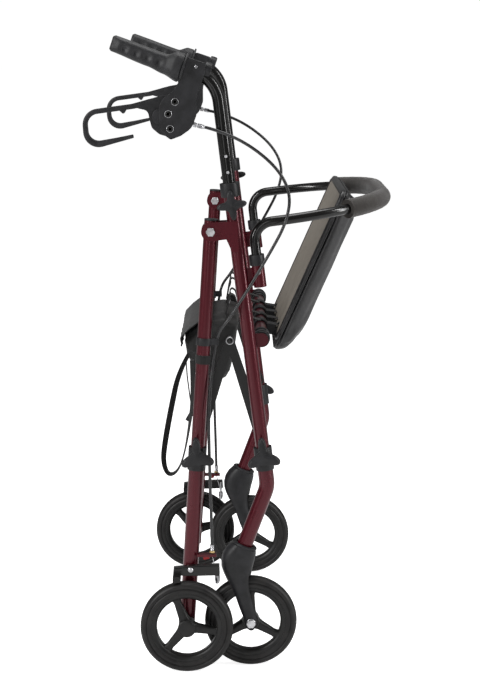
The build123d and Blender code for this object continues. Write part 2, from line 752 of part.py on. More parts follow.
def seat_cushion():
    out = BOARD_OFFSET + BOARD_T
    low, high = BOARD_START - CUSHION_OVERHANG, BOARD_END
    pad = seat_slab(low, high, out, out + CUSHION_T, SEAT_W, 22)
    edges = pad.faces().sort_by(Axis((0, 0, 0), (SEAT_OUT[0], 0, SEAT_OUT[1])))[-1].edges()
    pad = fillet(edges, 12)
    skin = CUSHION_SKIN
    hollow = seat_slab(
        low + skin, high - skin, out + skin, out + CUSHION_T - skin - 3, SEAT_W - 2 * skin, 20
    )
    core = hollow & seat_slab(low + 8, high - 8, out, out + CUSHION_T, SEAT_W - 16, 16)
    return pad - core


def seat_clips():
    """Clips under the board that snap over the seat's cross tube."""
    clips = []
    x, z = SEAT_AXIS
    for y in CLIP_Y:
        low, high = y - CLIP_W / 2, y + CLIP_W / 2
        outer = SEAT_TUBE_R + FIT + CLIP_WALL
        body = cross_rod(x, z, low, high, outer)
        foot = [seat_point(up, out) for up, out in ((-9, 4), (9, 4), (14, BOARD_OFFSET - 5),
                                                   (14, BOARD_OFFSET), (-5, BOARD_OFFSET),
                                                   (-5, BOARD_OFFSET - 5))]
        body += plate([(p.X, p.Z) for p in foot], low, high)
        body -= cross_rod(x, z, low, high, SEAT_TUBE_R + FIT)
        clips.append(body - seat_board())
    return clips


# --- backrest ----------------------------------------------------------------
def hoop_plane_point(forward, y):
    """A point on the hoop's flat, which is square to the front leg."""
    corner = front(HOOP_TOP_Z, SOCKET_OFFSET)
    lean = math.radians(FRONT_LEAN)
    return Vector(corner.X + forward * math.cos(lean), y, corner.Z + forward * math.sin(lean))


def hoop_path():
    foot = front(SOCKET_Z[0] + 2, SOCKET_OFFSET)
    far_foot = Vector(foot.X, -foot.Y, foot.Z)
    return FilletPolyline(
        foot,
        hoop_plane_point(0, -LEG_Y),
        hoop_plane_point(HOOP_REACH, -LEG_Y),
        hoop_plane_point(HOOP_REACH, LEG_Y),
        hoop_plane_point(0, LEG_Y),
        far_foot,
        radius=[HOOP_BEND_R, HOOP_CORNER_R, HOOP_CORNER_R, HOOP_BEND_R],
    )


def backrest_tube():
    path = hoop_path()
    body = swept(path, HOOP_R) - swept(path, HOOP_R - HOOP_WALL)
    button = front(BUTTON_Z, SOCKET_OFFSET)
    hole = cross_rod(button.X, button.Z, -LEG_Y - 12, -LEG_Y, BUTTON_R + AXLE_FIT)
    return body - hole - mirror(hole, Plane.XZ)


def backrest_foam():
    """The sleeve round the front of the hoop, between its two corners."""
    side = LEG_Y - HOOP_CORNER_R
    centre_x = HOOP_REACH - HOOP_CORNER_R
    turn = math.radians(FOAM_ANGLE)
    half = math.radians(FOAM_ANGLE / 2 + 45)

    def corner(angle, sign):
        return hoop_plane_point(
            centre_x + HOOP_CORNER_R * math.sin(angle),
            sign * (side + HOOP_CORNER_R * math.cos(angle)),
        )

    begin = math.pi / 2 - turn
    arc_right = ThreePointArc(corner(begin, -1), corner(half, -1), corner(math.pi / 2, -1))
    front_run = Line(corner(math.pi / 2, -1), corner(math.pi / 2, 1))
    arc_left = ThreePointArc(corner(math.pi / 2, 1), corner(half, 1), corner(begin, 1))
    path = Wire([*arc_right.edges(), *front_run.edges(), *arc_left.edges()])
    return swept(path, FOAM_R) - swept(path, HOOP_R)


def snap_button():
    place = front(BUTTON_Z, SOCKET_OFFSET)
    outer = -LEG_Y - HOOP_R - FIT - SOCKET_WALL - 1.5
    head = cross_rod(place.X, place.Z, outer, -LEG_Y - HOOP_R + HOOP_WALL + 2.0, BUTTON_R)
    return head


# --- soft goods --------------------------------------------------------------
def pouch():
    return plate(POUCH, -POUCH_W / 2, POUCH_W / 2)


def strap():
    """A flat webbing loop; its route is set by hand."""
    points = [Vector(p) for p in STRAP]
    radii = corner_radii(points)
    path = FilletPolyline(*points, radius=radii)
    print("strap length", round(path.length), "least radius", round(min(radii)))
    return swept(path, STRAP_T)


# --- all nodes ---------------------------------------------------------------
def rear_frame():
    """Both rear upper legs and the tube welded between them."""
    leg = rear_leg_upper()
    return leg + mirror(leg, Plane.XZ) + cross_tube(rear_bar(), LEG_Y - UPPER_R + 1)


def middle_nodes():
    """Pieces that span the walker, or that lie on its middle."""
    return {
        "rear_frame": rear_frame(),
        "seat_tube": cross_tube(SEAT_AXIS, LEG_Y - UPPER_R - PLATE_T),
        "seat_board": seat_board(),
        "seat_cushion": seat_cushion(),
        "seat_clips": seat_clips(),
        "backrest_tube": backrest_tube(),
        "backrest_foam": backrest_foam(),
        "pouch": pouch(),
        "strap": strap(),
    }


def shared_nodes():
    """Small pieces of one kind, drawn on the right and repeated on the left."""
    return {
        "hinge_bolts": [hinge_bolts()],
        "frame_collars": frame_collars(),
        "rear_leg_caps": rear_leg_caps(),
        "cable_upper": [cord_tube("cable_upper", CABLE_UPPER, CABLE_R)],
        "cable_lower": [cable_lower()],
    }


def side_nodes():
    """Pieces with a right and a left copy, each in a node of its own."""
    up_rear, up_front = leg_directions()
    return {
        "side_frame": side_frame(),
        "rear_leg_lower": rear_leg_lower(),
        "front_leg_lower": front_leg_lower(),
        "rear_leg_collar": leg_collar(rear(RIM_Z), up_rear),
        "front_leg_collar": leg_collar(front(RIM_Z), up_front),
        "rear_leg_knob": rear_leg_knob(),
        "front_leg_knob": front_leg_knob(),
        "handle_knob": handle_knob(),
        "front_link": front_link(),
        "rear_link": rear_link(),
        "rear_tyre": tyre(REAR_AXLE_X, -REAR_WHEEL_Y, TYRE_W),
        "rear_hub": hub(REAR_AXLE_X, -REAR_WHEEL_Y, TYRE_W, 110, True),
        "rear_axle": rear_axle(),
        "castor_tyre": tyre(CASTOR_AXLE_X, -LEG_Y, CASTOR_TYRE_W),
        "castor_hub": hub(CASTOR_AXLE_X, -LEG_Y, CASTOR_TYRE_W, 90, False),
        "castor_fork": castor_fork(),
        "castor_axle": castor_axle(),
        "handle_tube": handle_tube(),
        "grip": grip(),
        "brake_body": [brake_body()] + brake_bolts(),
        "brake_lever": brake_lever(),
        "brake_arm": brake_arm(),
        "snap_button": snap_button(),
    }


def solids_of(pieces):
    found = []
    for piece in pieces if isinstance(pieces, list) else [pieces]:
        found += piece.solids()
    return found


def all_nodes():
    """Every node's solids, with X still counted from the fold hinge."""
    made = {name: solids_of(pieces) for name, pieces in middle_nodes().items()}
    for name, pieces in shared_nodes().items():
        right = solids_of(pieces)
        made[name] = right + [mirror(s, Plane.XZ) for s in right]
    for name, pieces in side_nodes().items():
        right = solids_of(pieces)
        made[name + "_right"] = right
        made[name + "_left"] = [mirror(s, Plane.XZ) for s in right]
    return made


def middle_x(made):
    """Half-way between the walker's rearmost and foremost points."""
    boxes = [s.bounding_box() for name, group in made.items() if name != "strap" for s in group]
    return (min(b.min.X for b in boxes) + max(b.max.X for b in boxes)) / 2


def main():
    os.makedirs("parts", exist_ok=True)
    made = all_nodes()
    shift = -middle_x(made)
    print("shift", round(shift, 4), "nodes", len(made))
    for name, group in made.items():
        placed = [Pos(shift, 0, 0) * s for s in group]
        whole = placed[0] if len(placed) == 1 else Compound(children=placed)
        export_step(whole, f"parts/{name}.step")


if __name__ == "__main__":
    main()
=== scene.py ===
"""Looks for the folded rollator walker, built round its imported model.

Shapes are drawn in millimetres, with X counted forward from the fold hinge, Y to the walker's left
and Z up from the floor. place() turns such a point into the row frame, in metres.
A side piece is drawn with sign -1 for the right side and +1 for the left.
"""

import json
import math

import bmesh
import bpy
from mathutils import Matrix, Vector, noise


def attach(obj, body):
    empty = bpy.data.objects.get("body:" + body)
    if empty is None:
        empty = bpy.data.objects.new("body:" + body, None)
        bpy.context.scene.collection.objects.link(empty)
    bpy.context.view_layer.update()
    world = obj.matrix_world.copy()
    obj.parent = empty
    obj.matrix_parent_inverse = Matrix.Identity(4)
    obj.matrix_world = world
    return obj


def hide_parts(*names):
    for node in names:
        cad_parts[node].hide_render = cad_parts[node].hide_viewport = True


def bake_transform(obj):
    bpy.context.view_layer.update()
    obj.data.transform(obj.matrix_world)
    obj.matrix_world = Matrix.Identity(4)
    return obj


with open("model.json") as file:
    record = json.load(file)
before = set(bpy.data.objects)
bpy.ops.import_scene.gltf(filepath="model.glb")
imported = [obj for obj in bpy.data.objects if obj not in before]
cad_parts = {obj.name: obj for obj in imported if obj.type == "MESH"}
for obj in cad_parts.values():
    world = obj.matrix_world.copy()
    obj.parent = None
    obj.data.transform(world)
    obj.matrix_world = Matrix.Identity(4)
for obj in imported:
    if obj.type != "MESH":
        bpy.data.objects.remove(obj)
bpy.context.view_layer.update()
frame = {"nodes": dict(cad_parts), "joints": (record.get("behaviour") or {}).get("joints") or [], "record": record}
nodes = frame["nodes"]
joints = {joint["name"]: joint for joint in frame["joints"]}

MM = 0.001
HINGE = Vector(joints["fold"]["pos_m"])
SIDES = (("right", -1), ("left", 1))
ACROSS = Vector((0, 1, 0))

# Sizes that the pieces share with the frame, in millimetres
LEG_Y = 250
HINGE_Z = 723
FRONT_LEAN = math.radians(7.125)
REAR_SLOPE = 40.4 / 647
WHEEL_R = 76
REAR_AXLE = (-40.4, 76)
CASTOR_AXLE = (64.6, 76)
REAR_WHEEL_Y = 281
LOWER_R = 12.7
UPPER_R = 11.1
STEM_LEAN = math.radians(20.5)
FORK_TOP = (53.57, 203.54)
GRIP_START = (-43.3, 979.8)
GRIP_RISE = math.radians(18.7)
GRIP_LENGTH = 117
SEAT_AXIS = (81.6, 545)
SEAT_ANGLE = math.radians(66.1)
SEAT_W = 305
BOARD_OFFSET = 28
BOARD_T = 5
CUSHION_T = 28
HOOP_CORNER = (66.7, 734.6)
HOOP_REACH = 220
HOOP_CORNER_R = 184
LEVER_PIN = (-79, 904)
BRAKE_Y = 260

# Sizes of drawn pieces, in millimetres
PAD_OVERHANG = 19
PAD_CORNERS = [30, 16, 16, 30]
FLAP_HALF = 140
STRAP_HALF_W = 5
STRAP_HALF_T = 0.75
CABLE_R = 2.5
SPRING_X = 9.5
SPRING_R = 3.6
SPRING_TOP = 156
SPRING_DROP = 9

# The pad's cloth simulation, in metres
PAD_VOXEL = 0.0055
HELD_DEPTH = 0.0035
SWELL_LIMIT = 0.0045


def place(point):
    """A drawing point in the row frame, in metres."""
    return Vector((HINGE.x + point[0] * MM, point[1] * MM, point[2] * MM))


def drawn(point):
    """A row frame point, in metres, as a drawing point."""
    return Vector(((point[0] - HINGE.x) / MM, point[1] / MM, point[2] / MM))


def rear_x(z):
    return -REAR_SLOPE * (HINGE_Z - z)


# --- camera, light and floor ---------------------------------------------------------------------
def make_camera():
    data = bpy.data.cameras.new("camera")
    camera = bpy.data.objects.new("camera", data)
    bpy.context.scene.collection.objects.link(camera)
    camera.location = (-0.004, -3.008, 1.045)
    camera.rotation_euler = (math.radians(79.5), 0, 0)
    data.sensor_width = 36
    data.lens = 90.15
    bpy.context.scene.camera = camera


def area_light(name, location, target, size, power, size_y=None):
    data = bpy.data.lights.new(name, "AREA")
    data.energy = power
    data.size = size
    if size_y:
        data.shape = "RECTANGLE"
        data.size_y = size_y
    light = bpy.data.objects.new(name, data)
    bpy.context.scene.collection.objects.link(light)
    light.location = location
    light.rotation_euler = (Vector(target) - Vector(location)).to_track_quat("-Z", "Y").to_euler()


def seen_only(tree, socket, unseen, seen):
    """One value for what the camera looks at, another for what lights the walker."""
    path = tree.nodes.new("ShaderNodeLightPath")
    spread = tree.nodes.new("ShaderNodeMapRange")
    spread.inputs["To Min"].default_value = unseen
    spread.inputs["To Max"].default_value = seen
    tree.links.new(path.outputs["Is Camera Ray"], spread.inputs["Value"])
    tree.links.new(spread.outputs["Result"], socket)


def make_studio():
    world = bpy.data.worlds.new("studio")
    bpy.context.scene.world = world
    world.use_nodes = True
    background = world.node_tree.nodes["Background"]
    background.inputs["Color"].default_value = (1, 1, 1, 1)
    seen_only(world.node_tree, background.inputs["Strength"], 0.2, 1.02)
    area_light("key", (-2.2, -1.6, 1.9), (0, 0, 0.5), 0.3, 62, 2.4)
    area_light("rim", (2.3, -0.9, 1.5), (0, 0, 0.5), 0.25, 44, 2.4)
    area_light("top", (0.2, 0.2, 3.2), (0, 0, 0.5), 1.6, 40)
    area_light("fill", (-0.6, -3.4, 1.2), (0, 0, 0.5), 0.5, 9, 2.0)
    bpy.context.scene.view_settings.view_transform = "Standard"
    mesh = bpy.data.meshes.new("floor")
    half = 40
    mesh.from_pydata([(-half, -half, 0), (half, -half, 0), (half, half, 0), (-half, half, 0)],
                     [], [(0, 1, 2, 3)])
    floor = bpy.data.objects.new("floor", mesh)
    bpy.context.scene.collection.objects.link(floor)
    paper = bpy.data.materials.new("paper")
    paper.use_nodes = True
    shader = paper.node_tree.nodes["Principled BSDF"]
    shader.inputs["Base Color"].default_value = (0.93, 0.93, 0.93, 1)
    shader.inputs["Emission Color"].default_value = (1, 1, 1, 1)
    seen_only(paper.node_tree, shader.inputs["Emission Strength"], 0.0, 0.83)
    shader.inputs["Roughness"].default_value = 0.9
    shader.inputs["Specular IOR Level"].default_value = 0.1
    mesh.materials.append(paper)


# --- materials -----------------------------------------------------------------------------------
class Finish:
    """A procedural material, built step by step on one Principled shader."""

    def __init__(self, name, roughness, metallic=0.0, coat=0.0, sheen=0.0, specular=0.5):
        self.material = bpy.data.materials.new(name)
        self.material.use_nodes = True
        self.tree = self.material.node_tree
        self.shader = self.tree.nodes["Principled BSDF"]
        self.set("Roughness", roughness)
        self.set("Metallic", metallic)
        self.set("Coat Weight", coat)
        self.set("Coat Roughness", 0.12)
        self.set("Sheen Weight", sheen)
        self.set("Specular IOR Level", specular)
        self.place = self.node("ShaderNodeTexCoord").outputs["Object"]
        self.normal = None

    def set(self, socket, value):
        self.shader.inputs[socket].default_value = value

    def node(self, kind, **inputs):
        made = self.tree.nodes.new(kind)
        for socket, value in inputs.items():
            made.inputs[socket].default_value = value
        return made

    def link(self, a, b):
        self.tree.links.new(a, b)

    def noise(self, scale, detail=3.0):
        made = self.node("ShaderNodeTexNoise", Scale=scale, Detail=detail)
        self.link(self.place, made.inputs["Vector"])
        return made.outputs["Fac"]

    def cells(self, scale, feature="F1"):
        made = self.node("ShaderNodeTexVoronoi", Scale=scale)
        made.feature = feature
        self.link(self.place, made.inputs["Vector"])
        return made.outputs["Distance"]

    def bands(self, scale, direction):
        made = self.node("ShaderNodeTexWave", Scale=scale)
        made.bands_direction = direction
        self.link(self.place, made.inputs["Vector"])
        return made.outputs["Fac"]

    def product(self, a, b, operation="MULTIPLY"):
        made = self.node("ShaderNodeMath")
        made.operation = operation
        self.link(a, made.inputs[0])
        self.link(b, made.inputs[1])
        return made.outputs["Value"]

    def colours(self, source, low, high, start=0.35, end=0.65):
        ramp = self.node("ShaderNodeValToRGB")
        first, last = ramp.color_ramp.elements
        first.position, last.position = start, end
        first.color, last.color = (*low, 1), (*high, 1)
        self.link(source, ramp.inputs["Fac"])
        self.link(ramp.outputs["Color"], self.shader.inputs["Base Color"])
        return self

    def rough(self, source, low, high):
        spread = self.node("ShaderNodeMapRange")
        spread.inputs["To Min"].default_value = low
        spread.inputs["To Max"].default_value = high
        self.link(source, spread.inputs["Value"])
        self.link(spread.outputs["Result"], self.shader.inputs["Roughness"])
        return self

    def bump(self, source, depth, strength=1.0):
        made = self.node("ShaderNodeBump", Strength=strength, Distance=depth * MM)
        self.link(source, made.inputs["Height"])
        if self.normal:
            self.link(self.normal, made.inputs["Normal"])
        self.normal = made.outputs["Normal"]
        self.link(self.normal, self.shader.inputs["Normal"])
        return self


def lacquer(name, dark, light, roughness, metallic):
    made = Finish(name, roughness, metallic=metallic, coat=0.3, specular=0.32)
    made.colours(made.cells(2600), dark, light, 0.2, 0.8)
    made.rough(made.noise(35), roughness - 0.06, roughness + 0.08)
    return made.bump(made.noise(160, 1), 0.01, 0.1).material


def moulded(name, dark, light, roughness, grain=0.06):
    made = Finish(name, roughness, specular=0.34)
    made.colours(made.noise(60, 5), dark, light)
    made.rough(made.noise(140, 4), roughness - 0.08, roughness + 0.1)
    return made.bump(made.noise(1500, 2), grain, 0.5).material


def metal(name, dark, light, roughness):
    made = Finish(name, roughness, metallic=1.0)
    made.colours(made.noise(180, 6), dark, light)
    made.rough(made.noise(500, 3), roughness - 0.08, roughness + 0.12)
    return made.bump(made.noise(900, 2), 0.03, 0.3).material


def woven(name, dark, light, pitch, roughness, sheen, directions=("X", "Z")):
    made = Finish(name, roughness, sheen=sheen, specular=0.3)
    scale = math.pi / (10 * pitch * MM)
    threads = made.product(made.bands(scale, directions[0]), made.bands(scale, directions[1]), "MAXIMUM")
    made.colours(made.product(threads, made.noise(45, 4)), dark, light, 0.15, 0.75)
    return made.bump(threads, 0.25, 0.7).bump(made.noise(60, 4), 0.8, 0.35).material


def make_materials():
    vinyl = Finish("vinyl", 0.38, coat=0.15, specular=0.5)
    vinyl.colours(vinyl.noise(25, 5), (0.005, 0.005, 0.006), (0.012, 0.011, 0.012))
    vinyl.rough(vinyl.noise(90, 4), 0.3, 0.5)
    vinyl.bump(vinyl.cells(850, "SMOOTH_F1"), 0.18, 0.6).bump(vinyl.noise(30, 4), 0.8, 0.25)
    foam = Finish("foam", 0.95, sheen=0.25, specular=0.2)
    foam.colours(foam.cells(900), (0.014, 0.012, 0.011), (0.036, 0.031, 0.027), 0.1, 0.8)
    foam.bump(foam.cells(900), 0.45, 0.8).bump(foam.noise(120, 3), 0.6, 0.4)
    rubber = Finish("tyre", 0.6, specular=0.34)
    rubber.colours(rubber.noise(70, 5), (0.005, 0.0045, 0.0045), (0.012, 0.011, 0.0105))
    rubber.rough(rubber.noise(40, 4), 0.36, 0.54)
    rubber.bump(rubber.noise(700, 4), 0.08, 0.5)
    grip = Finish("grip_rubber", 0.55, specular=0.4, sheen=0.1)
    grip.colours(grip.noise(80, 5), (0.006, 0.006, 0.007), (0.014, 0.014, 0.016))
    grip.rough(grip.noise(60, 3), 0.42, 0.62).bump(grip.cells(1100), 0.08, 0.6)
    cable = Finish("cable", 0.28, coat=0.3)
    cable.colours(cable.noise(50, 3), (0.003, 0.003, 0.0035), (0.008, 0.008, 0.009))
    cable.bump(cable.noise(300, 2), 0.05, 0.3)
    return {
        "frame_paint": lacquer("frame_paint", (0.045, 0.002, 0.006), (0.098, 0.005, 0.012), 0.28, 0.45),
        "black_tube": lacquer("black_tube", (0.003, 0.003, 0.003), (0.008, 0.0075, 0.007), 0.2, 0.2),
        "black_steel": lacquer("black_steel", (0.004, 0.004, 0.004), (0.009, 0.0085, 0.008), 0.36, 0.15),
        "zinc": metal("zinc", (0.42, 0.42, 0.43), (0.68, 0.68, 0.7), 0.3),
        "brass": metal("brass", (0.42, 0.3, 0.12), (0.62, 0.47, 0.22), 0.32),
        "black_plastic": moulded("black_plastic", (0.007, 0.007, 0.008), (0.015, 0.015, 0.017), 0.44),
        "wheel_plastic": moulded("wheel_plastic", (0.004, 0.004, 0.004), (0.01, 0.0095, 0.009), 0.36),
        "red_plastic": moulded("red_plastic", (0.25, 0.01, 0.012), (0.4, 0.02, 0.02), 0.4),
        "seat_plastic": moulded("seat_plastic", (0.17, 0.152, 0.128), (0.2, 0.18, 0.152), 0.5, 0.03),
        "nylon": woven("nylon", (0.003, 0.003, 0.003), (0.013, 0.0125, 0.012), 1.1, 0.75, 0.15),
        "webbing": woven("webbing", (0.003, 0.003, 0.003), (0.014, 0.0135, 0.013), 1.6, 0.7, 0.1,
                         ("Z", "Y")),
        "vinyl": vinyl.material,
        "foam": foam.material,
        "tyre": rubber.material,
        "grip_rubber": grip.material,
        "cable": cable.material,
    }


# --- shapes: each is (vertices, faces), in drawing millimetres ------------------------------------
def loft(rings, closed=False, caps=True):
    """A skin through rings that have the same number of points."""
    count, around = len(rings), len(rings[0])
    verts = [Vector(p) for ring in rings for p in ring]
    faces = []
    for i in range(count if closed else count - 1):
        j = (i + 1) % count
        for k in range(around):
            m = (k + 1) % around
            faces.append((i * around + k, i * around + m, j * around + m, j * around + k))
    if caps and not closed:
        faces.append(tuple(range(around)))
        faces.append(tuple((count - 1) * around + k for k in range(around)))
    return verts, faces


def basis(axis):
    """Two unit vectors square to the axis and to each other."""
    axis = Vector(axis).normalized()
    other = Vector((0, 0, 1)) if abs(axis.z) < 0.9 else Vector((1, 0, 0))
    u = axis.cross(other).normalized()
    return axis, u, axis.cross(u)


def circle(centre, u, v, radius, steps):
    turns = [2 * math.pi * k / steps for k in range(steps)]
    return [Vector(centre) + u * radius * math.cos(t) + v * radius * math.sin(t) for t in turns]


def revolve(profile, centre, axis, steps=64, closed=False):
    """A turned shape from (distance along the axis, radius) pairs."""
    axis, u, v = basis(axis)
    rings = [circle(Vector(centre) + axis * a, u, v, r, steps) for a, r in profile]
    return loft(rings, closed)


def rounded(points, radii, closed=False, steps=7):
    """A line through the points, with an arc of the given radius at each corner."""
    count = len(points)
    radii = radii if isinstance(radii, (list, tuple)) else [radii] * count
    line = []
    for i, corner in enumerate(points):
        if not closed and i in (0, count - 1):
            line.append(corner.copy())
            continue
        before, after = points[i - 1] - corner, points[(i + 1) % count] - corner
        turn = math.pi - before.angle(after)
        if radii[i] <= 0 or turn < 0.03:
            line.append(corner.copy())
            continue
        reach = min(radii[i] * math.tan(turn / 2), 0.48 * min(before.length, after.length))
        radius = reach / math.tan(turn / 2)
        inward = (before.normalized() + after.normalized()).normalized()
        centre = corner + inward * radius / math.cos(turn / 2)
        start = corner + before.normalized() * reach - centre
        end = corner + after.normalized() * reach - centre
        for k in range(steps + 1):
            a, b = math.sin(turn * (1 - k / steps)), math.sin(turn * k / steps)
            line.append(centre + (start * a + end * b) / math.sin(turn))
    return line


def side_outline(points, radii):
    """A closed side-view outline with rounded corners."""
    return rounded([Vector((x, 0, z)) for x, z in points], radii, closed=True)


def prism(outline, y_low, y_high):
    """A side-view outline, thickened along Y."""
    return loft([[Vector((p.x, y, p.z)) for p in outline] for y in (y_low, y_high)])


def rod(start, end, radius, steps=32):
    start, end = Vector(start), Vector(end)
    _, u, v = basis(end - start)
    return loft([circle(start, u, v, radius, steps), circle(end, u, v, radius, steps)])


def sweep(line, section, side=None):
    """A bar along a line; section(share) gives its outline as (across, up) pairs."""
    rings = []
    previous = side or basis(line[1] - line[0])[1]
    last = len(line) - 1
    for i, point in enumerate(line):
        tangent = (line[min(i + 1, last)] - line[max(i - 1, 0)]).normalized()
        across = (previous - tangent * previous.dot(tangent)).normalized()
        previous = side or across
        up = tangent.cross(across)
        rings.append([point + across * a + up * b for a, b in section(i / last)])
    return loft(rings)


def round_section(radius, steps=16):
    turns = [2 * math.pi * k / steps for k in range(steps)]
    return [(radius * math.cos(t), radius * math.sin(t)) for t in turns]


def squared_section(half_a, half_b, power=4.0, steps=20):
    """A rounded rectangle as a superellipse."""
    made = []
    for k in range(steps):
        turn = 2 * math.pi * k / steps
        c, s = math.cos(turn), math.sin(turn)
        made.append((half_a * math.copysign(abs(c) ** (2 / power), c),
                     half_b * math.copysign(abs(s) ** (2 / power), s)))
    return made


def torus(centre, axis, radius, thickness, steps=48):
    profile = [(thickness * math.cos(t), radius + thickness * math.sin(t))
               for t in (2 * math.pi * k / 12 for k in range(12))]
    return revolve(profile, centre, axis, steps, closed=True)


def hexagon(centre, axis, across_flats, height):
    axis, u, v = basis(axis)
    radius = across_flats / 2 / math.cos(math.pi / 6)
    centre = Vector(centre)
    return loft([circle(centre, u, v, radius, 6), circle(centre + axis * height, u, v, radius, 6)])


def socket_screw(centre, axis, radius):
    """A domed screw head with a round socket."""
    dome = ((-1, 1), (1.2, 1), (2.4, 0.86), (2.8, 0.6), (0.6, 0.48))
    return revolve([(height, radius * share) for height, share in dome], centre, axis, 24)


# --- pieces --------------------------------------------------------------------------------------
def piece(name, parts, body, slot, replaces=(), bevel=0.0, subdivide=0, sharp=38, ride=True):
    """One object riding on a body. A part is a shape, or a (shape, material) pair if not the slot's."""
    verts, faces, slots, used = [], [], [], []
    for part in parts:
        (shape_verts, shape_faces), finish = part if isinstance(part[1], str) else (part, slot)
        if finish not in used:
            used.append(finish)
        base = len(verts)
        verts += [place(p) for p in shape_verts]
        faces += [tuple(base + k for k in face) for face in shape_faces]
        slots += [used.index(finish)] * len(shape_faces)
    mesh = bpy.data.meshes.new(name)
    mesh.from_pydata(verts, [], faces)
    for finish in used:
        mesh.materials.append(finishes[finish])
    mesh.polygons.foreach_set("material_index", slots)
    work = bmesh.new()
    work.from_mesh(mesh)
    bmesh.ops.recalc_face_normals(work, faces=work.faces)
    work.to_mesh(mesh)
    work.free()
    mesh.polygons.foreach_set("use_smooth", [True] * len(mesh.polygons))
    mesh.set_sharp_from_angle(angle=math.radians(sharp))
    made = bpy.data.objects.new(name, mesh)
    bpy.context.scene.collection.objects.link(made)
    if bevel:
        soften(made, bevel)
    if subdivide:
        smooth = made.modifiers.new("smooth", "SUBSURF")
        smooth.levels = smooth.render_levels = subdivide
    if ride:
        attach(made, body)
    if replaces:
        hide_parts(*replaces)
    return made


def on_both_sides(*makers):
    for make in makers:
        for side, sign in SIDES:
            make(side, sign)


def soften(made, width):
    edges = made.modifiers.new("edges", "BEVEL")
    edges.width = width * MM
    edges.segments = 3
    edges.limit_method = "ANGLE"
    edges.angle_limit = math.radians(40)
    edges.harden_normals = True


def applied(made):
    """The object with its modifiers made part of its mesh."""
    bpy.context.view_layer.update()
    graph = bpy.context.evaluated_depsgraph_get()
    mesh = bpy.data.meshes.new_from_object(made.evaluated_get(graph))
    made.modifiers.clear()
    made.data = mesh
    return made


ROUND_NODES = ("side_frame", "rear_frame", "front_leg_lower", "rear_leg_lower", "handle_tube",
               "backrest_tube", "seat_tube")


def finish_frame_nodes():
    """Materials for the nodes that stay as they are, by their record slot."""
    slots = {part["node"]: part["material_slot"] for part in frame["record"]["subparts"]}
    edge = {"frame_paint": 0.5, "black_tube": 0.4, "black_steel": 0.6, "zinc": 0.5,
            "black_plastic": 0.7}
    for name, node in nodes.items():
        node.data.materials.clear()
        node.data.materials.append(finishes[slots[name]])
        if slots[name] in edge and not name.startswith(ROUND_NODES):
            weld = node.modifiers.new("weld", "WELD")
            weld.merge_threshold = 0.02 * MM
            soften(node, edge[slots[name]])
            node.modifiers["edges"].harden_normals = False
            node.modifiers["edges"].use_clamp_overlap = True


# --- wheels --------------------------------------------------------------------------------------
def tyre_profile(half):
    """(across, radius) round the tyre: bead, groove, shoulder and grooved tread."""
    one_side = [(half - 2.0, 58), (half - 0.9, 60), (half - 0.3, 62.5), (half - 0.6, 64.6),
                (half - 2.2, 65.6), (half - 2.2, 66.4), (half - 0.5, 67.4), (half - 0.2, 69.4),
                (half - 1.6, 72), (half - 4.0, 74.3), (half - 6.6, 75.5), (half - 7.4, 74.7),
                (half - 8.0, 74.7), (half - 8.8, 75.9)]
    other = [(-a, r) for a, r in reversed(one_side)]
    return one_side + [(1.2, WHEEL_R), (0.6, 75.2), (-0.6, 75.2), (-1.2, WHEEL_R)] + other


def hub_shapes(centre, width, first_spoke, out):
    """Rim, three tapered spokes and barrel; out is -1 or 1, towards a capped end, or 0."""
    half = width / 2
    rim = [(half - 2.2, 57.9), (half - 1.6, 56.4), (half - 2.4, 54.5), (half - 3.6, 51.5),
           (half - 5.6, 49.4), (half - 8, 49.0)]
    rim += [(-a, r) for a, r in reversed(rim)]
    shapes = [revolve(rim, centre, ACROSS, 96, closed=True)]
    barrel = [(-half, 0), (-half, 9), (-half + 1.2, 13.4), (-half + 3, 14), (half - 3, 14),
              (half - 1.2, 13.4), (half, 9), (half, 0)]
    shapes.append(revolve(barrel, centre, ACROSS, 48))
    for number in range(3):
        turn = math.radians(first_spoke + 120 * number)
        way = Vector((math.cos(turn), 0, math.sin(turn)))
        square = way.cross(ACROSS)
        rings = []
        for reach, wide, thick in ((9, 11, 9.4), (13, 9.2, 8.4), (18, 8.0, 7.4), (30, 7.2, 6.6),
                                   (42, 6.3, 6.2), (47, 7.0, 6.8), (50.5, 8.6, 7.6)):
            middle = Vector(centre) + way * reach
            rings.append([middle + square * a + ACROSS * b
                          for a, b in squared_section(wide, thick, 3.2, 24)])
        shapes.append(loft(rings))
    if out:
        cap = [(0, 14.6), (1.4, 14.6), (2.6, 13.6), (3.3, 11), (3.7, 6.5), (3.8, 0)]
        shapes.append(revolve(cap, Vector(centre) + ACROSS * out * half, ACROSS * out, 48))
    return shapes


def make_wheels(side, sign):
    kinds = (("rear", REAR_AXLE, REAR_WHEEL_Y, 26, 110 if sign < 0 else 13, sign, "rear_wheel_"),
             ("castor", CASTOR_AXLE, LEG_Y, 24, 90, 0, "castor_wheel_"))
    for kind, axle, y, width, first, out, body in kinds:
        centre = Vector((axle[0], sign * y, axle[1]))
        piece(f"{kind}_tyre_tread_{side}",
              [revolve(tyre_profile(width / 2), centre, ACROSS, 128, closed=True)],
              body + side, "tyre", [f"{kind}_tyre_{side}"], sharp=60)
        piece(f"{kind}_wheel_centre_{side}", hub_shapes(centre, width, first, out), body + side,
              "wheel_plastic", [f"{kind}_hub_{side}"], sharp=50)


